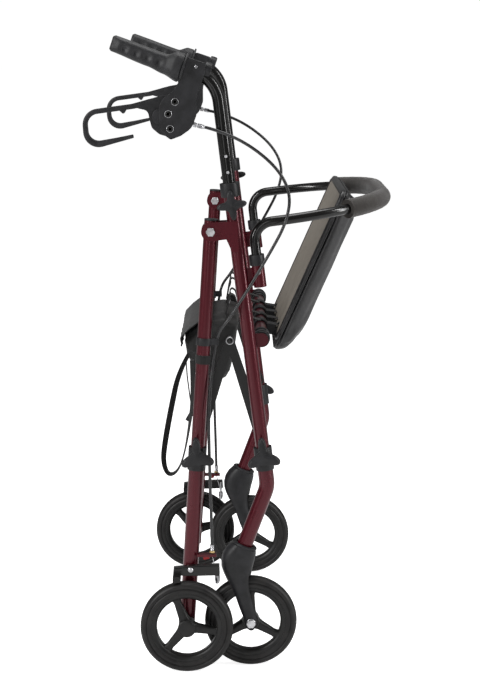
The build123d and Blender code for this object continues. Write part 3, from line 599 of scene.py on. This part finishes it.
def make_forks(side, sign):
    """Hooded castor forks: one tapering shell, open below for the wheel."""
    down = Vector((-math.sin(STEM_LEAN), 0, -math.cos(STEM_LEAN)))
    middle = Vector((0, sign * LEG_Y, 0))
    top = Vector((FORK_TOP[0], 0, FORK_TOP[1]))
    axle = Vector((CASTOR_AXLE[0], 0, CASTOR_AXLE[1]))
    # rear and front points of each section down the hood, and its half width across
    profile = ((24.5, 202, 73, 190, 21.0), (18.5, 192, 71, 181, 21.0), (15.8, 181, 68.5, 172, 21.0),
               (16.2, 170, 66.6, 163, 21.0), (19.2, 160, 65, 154, 20.9), (24, 149, 64.4, 145, 20.6),
               (30.5, 135, 65.4, 133, 20.2), (37, 118, 68.4, 117, 19.8), (43, 100, 72.6, 100, 19.3),
               (47.8, 88, 76, 88, 19.0), (51.4, 76, 77.6, 76, 19.0), (54.6, 68, 75.4, 68, 19.0),
               (59.4, 63.6, 70.6, 63.6, 19.0))
    rings = [fork_ring(top, Vector((1, 0, 0)) - down * down.x, 20.6, 20.6, 20.6)]
    for back_x, back_z, fore_x, fore_z, across in profile:
        rear, front = Vector((back_x, 0, back_z)), Vector((fore_x, 0, fore_z))
        half = (front - rear).length / 2
        rings.append(fork_ring((rear + front) / 2, front - rear, half, half, across))
    shell = [[p + middle for p in ring] for ring in rings]
    made = piece(f"castor_hood_{side}", [loft(shell)], "castor_" + side,
                 "black_plastic", ride=False, sharp=60)
    room = revolve([(-14, 79), (-13, 80), (13, 80), (14, 79)], axle + middle, ACROSS, 96)
    cutter = piece(f"cutter_{side}", [room], "castor_" + side, "black_plastic", ride=False)
    cut = made.modifiers.new("wheel_room", "BOOLEAN")
    cut.operation = "DIFFERENCE"
    cut.object = cutter
    applied(made)
    bpy.data.objects.remove(cutter)
    soften(made, 0.8)
    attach(made, "castor_" + side)
    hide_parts(f"castor_fork_{side}")
    stem = top + middle
    ring_parts = [
        revolve([(-1.5, 20), (1.5, 21.2), (3.2, 20.8), (4.2, 19), (4.2, 15.2), (1.0, 14.2),
                 (-1.5, 14)], stem, -down, 64, closed=True),
        (torus(stem - down * 0.6, down, 14.4, 0.9), "zinc"),
        revolve([(-1, 14), (1.2, 13.6), (1.6, 5), (1.6, 0)], stem, -down, 48),
        (rod(stem, stem - down * 26, 3.8), "zinc"),
    ]
    piece(f"castor_ring_{side}", ring_parts, "castor_" + side, "black_plastic", bevel=0.3)
    for face in (-1, 1):
        boss = axle + middle + ACROSS * face * 18.6
        washer = [(0, 7.6), (0.8, 7.6), (1.4, 6.9), (1.4, 5)]
        piece(f"axle_washer_{side}_{'inner' if face == -sign else 'outer'}",
              [revolve(washer, boss, ACROSS * face, 40)], "castor_" + side, "zinc")


def fork_ring(centre, forward, behind, ahead, across):
    """An oval section of the hood."""
    forward = forward.normalized()
    ring = []
    for a, b in squared_section(1, 1, 2.5, 40):
        ring.append(centre + forward * a * (ahead if a > 0 else behind) + ACROSS * b * across)
    return ring


# --- handles -------------------------------------------------------------------------------------
def ease(value, low, high):
    share = max(0.0, min(1.0, (value - low) / (high - low)))
    return share * share * (3 - 2 * share)


def make_grips(side, sign):
    """Moulded grips: four finger hollows in the side, a flared flange and a sliced end."""
    back = Vector((-math.cos(GRIP_RISE), 0, math.sin(GRIP_RISE)))
    up = Vector((math.sin(GRIP_RISE), 0, math.cos(GRIP_RISE)))
    start = Vector((GRIP_START[0], sign * LEG_Y, GRIP_START[1]))
    rings = []
    stations = [0, 0.6, 1.6, 3] + [3 + 2.0 * k for k in range(1, 55)] + [113.5, 115.5, 116.6, 117]
    for reach in stations:
        share = reach / GRIP_LENGTH
        flare = 1 - ease(share, 0.10, 0.25)
        above = 13.0 + 10.0 * flare + 2.0 * ease(share, 0.25, 1)
        below = 24.5 - 5 * ease(share, 0.02, 0.22) - 3.5 * ease(share, 0.22, 0.45) - 4 * ease(share, 0.45, 1)
        wide = 15.0 + 7.0 * flare - 0.8 * ease(share, 0.5, 1)
        fingers = math.sin(math.pi * (reach - 28) / 19) ** 2 if 28 < reach < 104 else 0
        facet = ease(reach, 100, 117)
        end = 1 - 0.2 * ease(reach, 113.5, 117.6) - 0.1 * (1 - ease(reach, 0, 1.8))
        ring = []
        for a, b in squared_section(1, 1, 2.5, 48):
            reach_up = above if b > 0 else below
            dip = max(0, 1 - abs(b + 0.15) * 1.7) * fingers
            flat = 1 - 0.08 * max(0, b) ** 3
            slice_off = 5.5 * facet * max(0, a * sign) * (1 - abs(b) * 0.5)
            ring.append(start + back * reach + up * b * reach_up * flat * end
                        + ACROSS * (a * (wide - 4.6 * dip) * end - sign * slice_off))
        rings.append(ring)
    collar = revolve([(-3.0, 13), (-3.0, 22.5), (-2.2, 24), (-0.4, 24), (0.2, 22), (0.2, 13)],
                     start, back, 56, closed=True)
    piece(f"grip_sleeve_{side}", [loft(rings), collar],
          "handle_" + side, "grip_rubber", [f"grip_{side}"], sharp=55)


BODY_OUTLINE = [
    (-36, 996), (-6, 986), (-9, 968), (-22, 932), (-22, 905), (-29, 886), (-46, 874),
    (-62, 868), (-73, 876), (-80, 889), (-80, 919), (-75, 931), (-57, 944), (-50, 956),
]
BODY_RADII = [5, 5, 20, 30, 14, 24, 20, 5, 14, 16, 12, 14, 20, 24]
BODY_W = 28


def make_hole_pins(side, sign):
    """Bright plugs set a little inside the visible adjustment holes."""
    spots = [(24.5, 841.8), (27.4, 816.6)]
    parts = [rod((x, sign * (LEG_Y + 8), z), (x, sign * (LEG_Y + 9.4), z), 2.5, 20) for x, z in spots]
    piece(f"hole_pins_{side}", parts, "handle_" + side, "zinc")


def make_brake_bodies(side, sign):
    """Lever housings in two shells round a spacer, with socket screws and a cable adjuster."""
    face = sign * (LEG_Y + BODY_W / 2)
    inner = sign * (LEG_Y - BODY_W / 2)
    outline = side_outline(BODY_OUTLINE, BODY_RADII)
    middle = Vector((-48, 0, 930))
    slim = [middle + (p - middle) * 0.965 for p in outline]
    cheek = circle(Vector((LEVER_PIN[0], 0, LEVER_PIN[1])), Vector((1, 0, 0)), Vector((0, 0, 1)), 12, 40)
    spacer = side_outline([(-34, 992), (-8, 984), (-12, 966), (-26, 932), (-26, 905), (-40, 880),
                           (-58, 876), (-60, 944), (-50, 956)], 8)
    parts = [
        prism(outline, face, face - sign * 7.6),
        prism(slim, face - sign * 7.2, face - sign * 8.6),
        prism(outline, inner, inner + sign * 7.8),
        prism(cheek, face - sign * 1.6, face - sign * 8),
        prism(cheek, inner + sign * 1.6, inner + sign * 8),
        prism(spacer, face - sign * 8, inner + sign * 8),
    ]
    nose = Vector((-10, sign * LEG_Y, 977))
    forward = Vector((math.cos(GRIP_RISE), 0, -math.sin(GRIP_RISE)))
    parts.append(revolve([(0, 12.6), (6, 13.2), (11, 12.8), (12, 11.2)], nose, forward, 48))
    made = piece(f"brake_housing_{side}", parts, "handle_" + side, "black_plastic",
                 [f"brake_body_{side}"], bevel=1.1)
    screws = []
    for x, z, size in ((-55, 927, 4.6), (-65.6, 908, 4.6), (-62.8, 885, 4.6)):
        for end in (face, inner):
            out = ACROSS * (sign if end == face else -sign)
            centre = Vector((x, end, z))
            screws.append(torus(centre, out, 5.4, 0.45, 36))
            screws.append((socket_screw(centre - out * 0.6, out, size), "black_steel"))
    screws.append(socket_screw(Vector((-21.7, face - sign * 0.8, 981)), ACROSS * sign, 2.6))
    piece(f"housing_screws_{side}", screws, "handle_" + side, "zinc", bevel=0.25)
    start = Vector((-26, sign * 257.6, 891.6))
    way = (Vector((20, sign * 267.2, 880.8)) - Vector((-10, sign * 260, 888))).normalized()
    barrel = [(0, 3.9), (4, 3.9), (4.6, 2.6), (6.4, 2.6)]
    for number in range(7):
        barrel += [(7 + number * 1.2, 3.7), (7.5 + number * 1.2, 3.1)]
    barrel += [(16.4, 3.4), (16.8, 2.8), (19, 2.6)]
    piece(f"cable_adjuster_{side}", [revolve(barrel, start, way, 24)],
          "handle_" + side, "zinc", sharp=30)


def make_levers(side, sign):
    """Loop levers: a flattened bar out to the rear, round, and back to a free tip."""
    x, z = LEVER_PIN
    y = sign * LEG_Y
    corners = [Vector((a, y, b)) for a, b in ((x + 2, z + 22), (-92, 928), (-118, 920), (-198, 909),
                                              (-194, 856), (-146, 867), (-121, 873))]
    line = rounded(corners, [0, 26, 60, 21, 23, 60, 0], steps=10)

    def section(share):
        swell = 1 + 0.3 * ease(share, 0.68, 0.9) - 0.6 * ease(share, 0.95, 1.0)
        thick = 4.1 + 1.6 * (1 - ease(share, 0.0, 0.2))
        return squared_section(5.4, thick * swell, 3.2, 20)

    web = side_outline([(-62, 938), (-84, 934), (-128, 922), (-112, 916), (-98, 913), (-95.5, 900),
                        (-92, 886), (-80, 876), (-66, 872)], [6, 20, 1, 26, 14, 12, 12, 12, 3])
    nub = side_outline([(-145, 915), (-129, 918), (-136, 907)], [2, 2, 2.5])
    pad = revolve([(-5.4, 0), (-5.4, 8.6), (5.4, 8.6), (5.4, 0)], Vector((x, y, z)), ACROSS, 32)
    parts = [sweep(line, section, ACROSS),
             prism(web, y - 5.3, y + 5.3),
             prism(nub, y - 4.6, y + 4.6), pad]
    piece(f"loop_lever_{side}", parts, "lever_" + side, "black_plastic",
          [f"brake_lever_{side}"], bevel=0.9, sharp=50)


def knob_shape(centre, out, lobes, radius, first, thick, waist, sharpness):
    """A lobed knob with concave flanks, a crowned face and soft edges."""
    steps = 96
    centre = Vector(centre)
    rings = []
    for share, size in ((0, 0.9), (0.06, 0.96), (0.18, 1.0), (0.72, 0.985), (0.88, 0.95),
                        (0.96, 0.88), (1.0, 0.78), (1.06, 0.5), (1.1, 0.25), (1.11, 0.02)):
        ring = []
        for k in range(steps):
            turn = 2 * math.pi * k / steps
            lobe = (0.5 + 0.5 * math.cos(lobes * (turn - first))) ** sharpness
            neck = waist * (1 - (0.3 * math.cos(turn - first) if lobes == 3 else 0))
            reach = neck + (radius - neck) * lobe
            if size < 0.9:
                reach = neck * (size / 0.9) ** 0.5 + (reach - neck) * size
            reach = reach * size if size >= 0.9 else reach * min(1, size * 1.12)
            ring.append(centre + Vector((math.cos(turn), 0, math.sin(turn))) * reach
                        + ACROSS * out * thick * share)
        rings.append(ring)
    return loft(rings)


def make_knobs(side, sign):
    """Clamping knobs on the four legs and the two handles."""
    kinds = (("rear_leg", "rear_knob_turn_", "rear_clamp_", 3, 30, 95, 20.2, 11.8, 2.6),
             ("front_leg", "front_knob_turn_", "front_clamp_", 3, 30, 97, 20.2, 11.8, 2.6),
             ("handle", "handle_knob_turn_", "handle_clamp_", 4, 24, 10, 17.7, 11.0, 1.8))
    for kind, joint, body, lobes, radius, first, face, waist, sharpness in kinds:
        spot = drawn(joints[joint + side]["pos_m"])
        centre = Vector((spot.x, sign * (LEG_Y + face), spot.z))
        shape = knob_shape(centre, sign, lobes, radius, math.radians(first), 14, waist, sharpness)
        shank = rod(Vector((spot.x, sign * (LEG_Y + 11.8), spot.z)), centre + ACROSS * sign * 2, 3)
        seat = revolve([(-0.4, 8.5), (1.6, 9.5), (3, 9.5)], centre, ACROSS * sign, 40)
        piece(f"{kind}_grip_knob_{side}",
              [shape, seat, (shank, "zinc")],
              body + side, "black_plastic", [f"{kind}_knob_{side}"], sharp=60)


# --- seat ----------------------------------------------------------------------------------------
SEAT_UP = Vector((math.cos(SEAT_ANGLE), 0, math.sin(SEAT_ANGLE)))
SEAT_OUT = Vector((math.sin(SEAT_ANGLE), 0, -math.cos(SEAT_ANGLE)))
SEAT_FOOT = Vector((SEAT_AXIS[0], 0, SEAT_AXIS[1]))
BOARD_START = -6
BOARD_END = 268


def seat_point(up, across, out):
    return SEAT_FOOT + SEAT_UP * up + ACROSS * across + SEAT_OUT * out


def seat_ring(up_low, up_high, half, radii, out):
    """A rounded rectangle lying along the seat, at a distance out from the hinge axis."""
    corners = [seat_point(u, a, out) for u, a in
               ((up_low, -half), (up_high, -half), (up_high, half), (up_low, half))]
    return rounded(corners, radii, closed=True, steps=8)


def make_seat_board():
    """Smooth moulded underside, with the vinyl wrapped round its edge."""
    out = BOARD_OFFSET
    half = SEAT_W / 2
    rows = [(0.6, out + BOARD_T), (0.2, out + 4), (0, out + 2.8), (0.5, out + 1.2), (2.0, out + 0.2),
            (8, out - 0.3), (20, out - 0.6)]
    rings = [seat_ring(BOARD_START + inset, BOARD_END - inset, half - inset, max(4, 22 - inset), level)
             for inset, level in rows]
    parts = [loft(rings)]
    for across in (-100, 100):
        parts.append((socket_screw(seat_point(16, across, out - 0.6), -SEAT_OUT, 3), "black_steel"))
    wrap = [seat_ring(BOARD_START + inset, BOARD_END - inset, half - inset, max(4, 22 - inset), level)
            for inset, level in ((10, out - 0.3), (9, out - 1.3), (2, out - 1.2), (-0.2, out + 0.6),
                                 (-0.6, out + 2.5), (-0.6, out + BOARD_T + 0.5))]
    piece("seat_wrap", [loft(wrap, caps=False)], "seat", "vinyl", sharp=60)
    piece("seat_shell", parts, "seat", "seat_plastic", ["seat_board"], bevel=0.4, sharp=35)


def make_cushion():
    """Vinyl pad: swelled by cloth simulation, then piped along its lower edge."""
    out = BOARD_OFFSET + BOARD_T
    half = SEAT_W / 2
    low, high = BOARD_START - PAD_OVERHANG, BOARD_END
    full = CUSHION_T + 1
    rows = [(2, 0.0, 0), (0.6, 2.0, 0), (1.4, full * 0.55, 2), (3.2, full * 0.78, 7), (7, full * 0.92, 14),
            (14, full, 22), (30, full + 1.0, 34)]
    rings = [seat_ring(low + inset + foot, high - inset, half - inset, PAD_CORNERS, out + level)
             for inset, level, foot in rows]
    made = piece("seat_pad", [loft(rings)], "seat", "vinyl", ride=False, sharp=80)
    inflate(made, place(seat_point(0, 0, out)), SEAT_OUT)
    smooth = made.modifiers.new("smooth", "SUBSURF")
    smooth.levels = smooth.render_levels = 1
    applied(made)
    dent(made)
    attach(made, "seat")
    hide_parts("seat_cushion")
    for number, (inset, level) in enumerate(((0.4, 0.6), (0.2, 5.2))):
        line = seat_ring(low + inset + 4, high - inset, half - inset, PAD_CORNERS, out + level)
        line.append(line[0].copy())
        piece(f"seat_piping_{number}", [sweep(line, lambda share: round_section(1.5, 10))],
              "seat", "vinyl", sharp=70)


def inflate(made, foot, outward):
    """Swells a pad with pressure, its face on the board held where it is."""
    bpy.context.view_layer.objects.active = made
    made.select_set(True)
    remesh = made.modifiers.new("even", "REMESH")
    remesh.mode = "VOXEL"
    remesh.voxel_size = PAD_VOXEL
    applied(made)
    before = [v.co.copy() for v in made.data.vertices]
    held = made.vertex_groups.new(name="held")
    low = [v.index for v in made.data.vertices if (v.co - foot).dot(outward) < HELD_DEPTH]
    held.add(low, 1.0, "REPLACE")
    cloth = made.modifiers.new("cloth", "CLOTH")
    cloth.settings.use_pressure = True
    cloth.settings.uniform_pressure_force = 3.5
    cloth.settings.vertex_group_mass = "held"
    cloth.settings.effector_weights.gravity = 0
    for number in range(1, 17):
        bpy.context.scene.frame_set(number)
    applied(made)
    for vertex, start in zip(made.data.vertices, before):
        moved = vertex.co - start
        if moved.length > SWELL_LIMIT:
            vertex.co = start + moved * (SWELL_LIMIT / moved.length)
    bpy.context.scene.frame_set(1)
    made.data.polygons.foreach_set("use_smooth", [True] * len(made.data.polygons))


def dent(made):
    """Slight unevenness of the vinyl over its foam."""
    for vertex in made.data.vertices:
        share = noise.noise(vertex.co * 14) * 0.0009 + noise.noise(vertex.co * 38) * 0.00035
        vertex.co += SEAT_OUT * share
    made.data.polygons.foreach_set("use_smooth", [True] * len(made.data.polygons))


def make_seat_tube_trim(side, sign):
    """Sleeves and rings at both ends of the seat's cross tube."""
    x, z = SEAT_AXIS
    parts = []
    for start, length, radius, finish in ((234, 5, 13.2, "black_plastic"), (228, 5, 11.6, "zinc"),
                                          (222, 6, 14.2, "black_plastic"), (214, 7, 12.6, "black_plastic"),
                                          (206, 5, 11.0, "zinc"), (200, 6, 13.6, "black_plastic"),
                                          (188, 10, 11.6, "black_plastic")):
        ring = [(0, 9.6), (0, radius - 0.8), (0.8, radius), (length - 0.8, radius),
                (length, radius - 0.8), (length, 9.6)]
        parts.append((revolve(ring, Vector((x, sign * start, z)), ACROSS * -sign, 48, closed=True),
                      finish))
    piece(f"seat_tube_sleeve_{side}", parts, "front_frame", "black_plastic", sharp=40)


# --- backrest ------------------------------------------------------------------------------------
def hoop_point(forward, y):
    return Vector((HOOP_CORNER[0] + forward * math.cos(FRONT_LEAN), y,
                   HOOP_CORNER[1] + forward * math.sin(FRONT_LEAN)))


def make_foam():
    """Foam sleeve round the front of the hoop, with soft rounded ends."""
    straight = LEG_Y - HOOP_CORNER_R
    centre = HOOP_REACH - HOOP_CORNER_R
    cover = math.radians(50)
    steps = 26
    line = []
    for k in range(steps + 1):
        turn = math.pi / 2 - cover * (1 - k / steps)
        line.append(hoop_point(centre + HOOP_CORNER_R * math.sin(turn),
                               -(straight + HOOP_CORNER_R * math.cos(turn))))
    for k in range(1, 12):
        line.append(hoop_point(HOOP_REACH, -straight + 2 * straight * k / 12))
    line += [Vector((p.x, -p.y, p.z)) for p in reversed(line[:steps + 1])]
    normal = Vector((-math.sin(FRONT_LEAN), 0, math.cos(FRONT_LEAN)))
    last = len(line) - 1
    rings = []
    rows = [(0, 8.2), (0, 11.5), (0, 14.2)] + [(i, None) for i in range(last + 1)]
    rows += [(last, 14.2), (last, 11.5), (last, 8.2)]
    for number, (i, radius) in enumerate(rows):
        tangent = (line[min(i + 1, last)] - line[max(i - 1, 0)]).normalized()
        across = normal.cross(tangent).normalized()
        push = 0.0
        if radius is None:
            radius = 15.4 + 0.12 * math.sin(i * 1.7)
        else:
            push = {8.2: 0.2, 11.5: -0.2, 14.2: 0.3}[radius] * (1 if number < 3 else -1)
        centre_point = line[i] + tangent * push
        rings.append(circle(centre_point, across, normal, radius, 32))
    piece("backrest_sleeve", [loft(rings, caps=False)], "front_frame", "foam",
          ["backrest_foam"], sharp=50)


# --- soft goods ----------------------------------------------------------------------------------
POUCH = [(-50, 524), (-47, 500), (-34, 474), (-8, 452), (20, 449), (33, 470), (42, 520), (47, 552),
         (20, 562), (-22, 552)]
POUCH_RADII = [10, 20, 26, 22, 18, 20, 30, 8, 20, 24]
POUCH_HALF = 143


def make_pouch():
    """A sagging nylon bag with a hemmed flap and gathered ends."""
    middle = Vector((0, 0, 512))
    outline = side_outline(POUCH, POUCH_RADII)
    rings = []
    stations = 29
    for k in range(stations):
        share = -1 + 2 * k / (stations - 1)
        end = max(0.0, abs(share) - 0.9) / 0.1
        size = 1 - 0.1 * abs(share) ** 3 - 0.5 * end ** 2
        sag = 5 * (1 - share ** 2)
        ring = []
        for p in outline:
            rel = (p - middle) * size
            rel.z -= sag * (0.6 if rel.z < 0 else -0.1)
            fold = noise.noise(Vector((p.x * 0.045, share * 5.5, p.z * 0.045))) * 4.0
            crease = noise.noise(Vector((p.x * 0.11, share * 15, p.z * 0.11 + 5))) * 1.6
            rel += rel.normalized() * ((fold + crease) * 0.8 - 2.4)
            ring.append(middle + rel + ACROSS * share * POUCH_HALF)
        rings.append(ring)
    bag = loft(rings)
    piece("pouch_bag", [bag], "front_frame", "nylon", ["pouch"], subdivide=1, sharp=80)
    flap_line = [(-4, 562), (-22, 559), (-39, 546), (-54.5, 530), (-51, 517)]
    rings = []
    for k in range(25):
        share = -1 + 2 * k / 24
        lift = 1.6 * noise.noise(Vector((share * 6, 3, 0)))
        drop = -5 * (1 - abs(share)) * 0.6
        top = [Vector((x, share * FLAP_HALF, z + (drop if number > 2 else 0)))
               for number, (x, z) in enumerate(flap_line)]
        top = rounded(top, 8, steps=3)
        top = [p + Vector((-lift * (i / len(top)), 0, 0)) for i, p in enumerate(top)]
        under = [p + Vector((1.0, 0, -1.2)) for p in reversed(top)]
        rings.append(top + under)
    parts = [loft(rings)]
    hem = [Vector((-51.6, -FLAP_HALF + 2 * FLAP_HALF * k / 24, 517.2 - 3 * (1 - abs(-1 + 2 * k / 24))))
           for k in range(25)]
    parts.append((sweep(hem, lambda share: round_section(1.3, 8)), "webbing"))
    piece("pouch_flap", parts, "front_frame", "nylon", sharp=60)


def make_pouch_tabs(side, sign):
    """Webbing tabs that hang the bag from the seat's cross tube, with grommets."""
    for number, y in enumerate((128, 62)):
        y *= sign
        line = [Vector((x, y, z)) for x, z in ((22, 556), (26, 580), (31, 604), (38, 601), (44, 578),
                                               (60, 566), (81, 559))]
        line = rounded(line, 12, steps=4)
        strap = sweep(line, lambda share: squared_section(8.5, 0.9, 6, 16), ACROSS)
        eye = torus(Vector((29.4, y, 592)), Vector((1, 0, -0.25)), 4.2, 1.1, 28)
        piece(f"pouch_tab_{side}_{number}", [strap, (eye, "zinc")], "front_frame",
              "webbing", sharp=50)
    pull = [Vector((x, sign * y, z)) for x, y, z in ((-44, 146, 500), (-41, 168, 470), (-36, 190, 440),
                                                     (-31, 205, 418))]
    piece(f"pouch_cord_{side}", [sweep(rounded(pull, 30, steps=5), lambda share: round_section(1.1, 8)),
                                 (rod(Vector((-31, sign * 205, 420)), Vector((-40, sign * 206, 404)), 4, 16),
                                  "black_plastic")],
          "front_frame", "webbing", sharp=50)


# --- cords and cables ----------------------------------------------------------------------------
STRAP = [
    (-36, -222, 520), (-53, -224, 490), (-65, -226, 434), (-76, -226, 375), (-80, -226, 340),
    (-72, -226, 316), (-56, -226, 322), (-45, -226, 350), (-36, -226, 400), (-29, -224, 455),
    (-31, -222, 508),
]
CABLE_UPPER = [
    (-10, -260, 888), (20, -267.2, 880.8), (66, -273, 858), (108, -276, 822), (127, -277, 782),
    (119, -276, 738), (96, -273, 694), (60, -269, 633), (30, -262, 584), (11.5, -255, 562),
    (8.5, -254, 545),
]
CABLE_LOWER = [
    (8.5, -254, 545), (4.6, -252.7, 522.9), (-1, -260, 476), (-4, -268, 420), (-3, -267, 365),
    (-2, -264, 310), (0, -261, 252), (1, -260, 205),
]
CABLE_END = (1, -260, 193)


def smooth_line(name, route, resolution=10):
    """The points of a route's NURBS spline, in drawing millimetres."""
    curve = bpy.data.curves.new(name, "CURVE")
    curve.dimensions = "3D"
    curve.resolution_u = resolution
    spline = curve.splines.new("NURBS")
    spline.points.add(len(route) - 1)
    for point, spot in zip(spline.points, route):
        point.co = (*spot, 1)
    spline.order_u = 3
    spline.use_endpoint_u = True
    holder = bpy.data.objects.new(name, curve)
    bpy.context.scene.collection.objects.link(holder)
    bpy.context.view_layer.update()
    mesh = bpy.data.meshes.new_from_object(holder.evaluated_get(bpy.context.evaluated_depsgraph_get()))
    line = [v.co.copy() for v in mesh.vertices]
    bpy.data.objects.remove(holder)
    return line


def make_strap():
    """The webbing loop that hangs behind the right rear leg."""
    line = smooth_line("strap_route", STRAP)
    last = len(line) - 1
    rings = []
    for i, point in enumerate(line):
        tangent = (line[min(i + 1, last)] - line[max(i - 1, 0)]).normalized()
        across = (ACROSS - tangent * ACROSS.dot(tangent)).normalized()
        face = tangent.cross(across)
        twist = math.radians(38 + 30 * math.sin(i / last * math.pi * 2.2))
        flat = across * math.cos(twist) + face * math.sin(twist)
        thin = tangent.cross(flat)
        rings.append([point + flat * a + thin * b
                      for a, b in squared_section(STRAP_HALF_W, STRAP_HALF_T, 6, 16)])
    made = piece("lift_strap", [loft(rings)], "rear_frame", "webbing", ["strap"], sharp=60)
    leg = Vector((rear_x(520), -LEG_Y, 516))
    band = [(-7, UPPER_R + 0.2), (-7, UPPER_R + 1.5), (7, UPPER_R + 1.5), (7, UPPER_R + 0.2)]
    lug = [Vector(p) for p in ((-18, -240, 516), (-27, -231, 517), (-34, -223, 518))]
    piece("strap_anchor", [revolve(band, leg, Vector((REAR_SLOPE, 0, 1)), 40, closed=True),
                           sweep(rounded(lug, 8, steps=4), lambda share: squared_section(1, 6, 6, 16))],
          "rear_frame", "webbing", sharp=50)


def make_cables():
    """Brake cables: lever to clip in two stretches, and clip to brake."""
    def tube(line, sign):
        line = [Vector((p.x, -sign * p.y, p.z)) for p in line]
        return sweep(line, lambda share: round_section(CABLE_R, 12))

    upper = smooth_line("upper_route", CABLE_UPPER, 8)
    lower = smooth_line("lower_route", CABLE_LOWER, 8)
    split = len(upper) // 2
    for side, sign in SIDES:
        tail = [Vector((-14, -259, 889))] + upper[:split + 1]
        first = piece(f"brake_cable_top_{side}", [tube(tail, sign)], None, "cable",
                      ["cable_upper"], sharp=60, ride=False)
        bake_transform(first)
        second = piece(f"brake_cable_middle_{side}", [tube(upper[split:], sign)], None, "cable",
                       sharp=60, ride=False)
        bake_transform(second)
        piece(f"brake_cable_low_{side}", [tube(lower, sign)], "rear_frame", "cable",
              ["cable_lower"], sharp=60)
        start = Vector(CABLE_LOWER[-1])
        way = Vector((0, 0, -1))
        foot = Vector((start.x, -sign * start.y, start.z))
        ferrule = [(-3, 2.6), (-3, 3.4), (0, 3.6), (0.6, 3.0)]
        for number in range(8):
            ferrule += [(1 + number * 1.3, 3.3), (1.6 + number * 1.3, 2.8)]
        ferrule += [(12.2, 2.2)]
        nut = hexagon(Vector((foot.x, foot.y, CABLE_END[2] + 2)), -way, 8, 3)
        piece(f"cable_end_{side}", [revolve(ferrule, foot, way, 24), (nut, "brass")],
              "rear_frame", "zinc", sharp=30)


def make_brake_arms(side, sign):
    """A pressed channel over each rear wheel, with its turned-down shoe and rivet."""
    outline = side_outline([(-63, 159.5), (-62, 172), (-22, 176), (13, 177), (14, 160),
                            (-20, 159)], 2.5)
    top = side_outline([(-62, 170.5), (-62, 172.8), (-22, 176.8), (13, 177.8), (13, 175.4),
                        (-22, 174.2)], 0.8)
    foot = side_outline([(-63, 159), (-63, 162), (-50, 162), (-50, 159)], 1)
    near, far = sign * (LEG_Y + LOWER_R + 0.6), sign * (LEG_Y + LOWER_R + 11)
    parts = [prism(outline, far - sign * 2.4, far), prism(top, near, far),
             prism(foot, near, sign * 291),
             (revolve([(0, 4.6), (1.2, 4.6), (2.2, 3.4), (2.4, 0)], (-34.3, far, 169),
                      ACROSS * sign, 32), "zinc")]
    piece(f"brake_channel_{side}", parts, "arm_" + side, "black_steel", [f"brake_arm_{side}"],
          bevel=0.4, sharp=35)


def make_brake_trim(side, sign):
    """Return spring, inner wire, shoe and red tab of each rear brake."""
    y = sign * BRAKE_Y
    wire = rod(Vector((1, y, 190)), Vector((8, y + sign * 6, 160)), 0.8, 10)
    tab = prism(side_outline([(-14, 188), (-4, 190), (-3, 185), (-13, 183)], 1.5), y - 3, y + 3)
    coil = []
    turns, steps = 7, 12
    for k in range(turns * steps + 1):
        turn = 2 * math.pi * k / steps
        coil.append(Vector((SPRING_X + SPRING_R * math.cos(turn), y + SPRING_R * math.sin(turn),
                            SPRING_TOP - SPRING_DROP * k / (turns * steps))))
    spring = sweep(coil, lambda share: round_section(0.7, 6))
    stud = rod(Vector((SPRING_X, y, 176)), Vector((SPRING_X, y, 142)), 1.9, 16)
    cap = revolve([(0, 3.4), (3, 3.4), (3.6, 2.6)], Vector((SPRING_X, y, 146)), Vector((0, 0, -1)), 20)
    piece(f"brake_spring_{side}", [wire, spring, stud, cap],
          "arm_" + side, "zinc", sharp=40)
    piece(f"brake_tab_{side}", [(tab, "red_plastic")], "rear_lower_" + side, "black_plastic", bevel=0.4)
    shoe = side_outline([(-63, 160), (-50, 160), (-50, 153.2), (-63, 152.4)], 1.2)
    piece(f"brake_shoe_{side}", [prism(shoe, sign * 292, sign * 268)], "arm_" + side,
          "tyre", bevel=0.5)


def make_link_trim(side, sign):
    """Ring at the apex of each pair of folding links, and its rivet."""
    apex = (30.2, 543)
    near = Vector((apex[0], sign * 235.4, apex[1]))
    ring = torus(near, ACROSS, 5.6, 1.1, 32)
    head = revolve([(0, 4.6), (1.2, 4.6), (2, 3.2), (2.2, 0)], near, ACROSS * sign, 28)
    piece(f"link_ring_{side}", [ring, (head, "black_steel")], f"front_link_{side}", "zinc",
          sharp=40)


make_camera()
make_studio()
finishes = make_materials()
finish_frame_nodes()
make_strap()
make_cables()
on_both_sides(make_wheels, make_forks, make_grips, make_hole_pins, make_brake_bodies, make_levers,
              make_knobs)
make_seat_board()
make_cushion()
on_both_sides(make_seat_tube_trim)
make_foam()
make_pouch()
on_both_sides(make_pouch_tabs, make_brake_arms, make_brake_trim, make_link_trim)
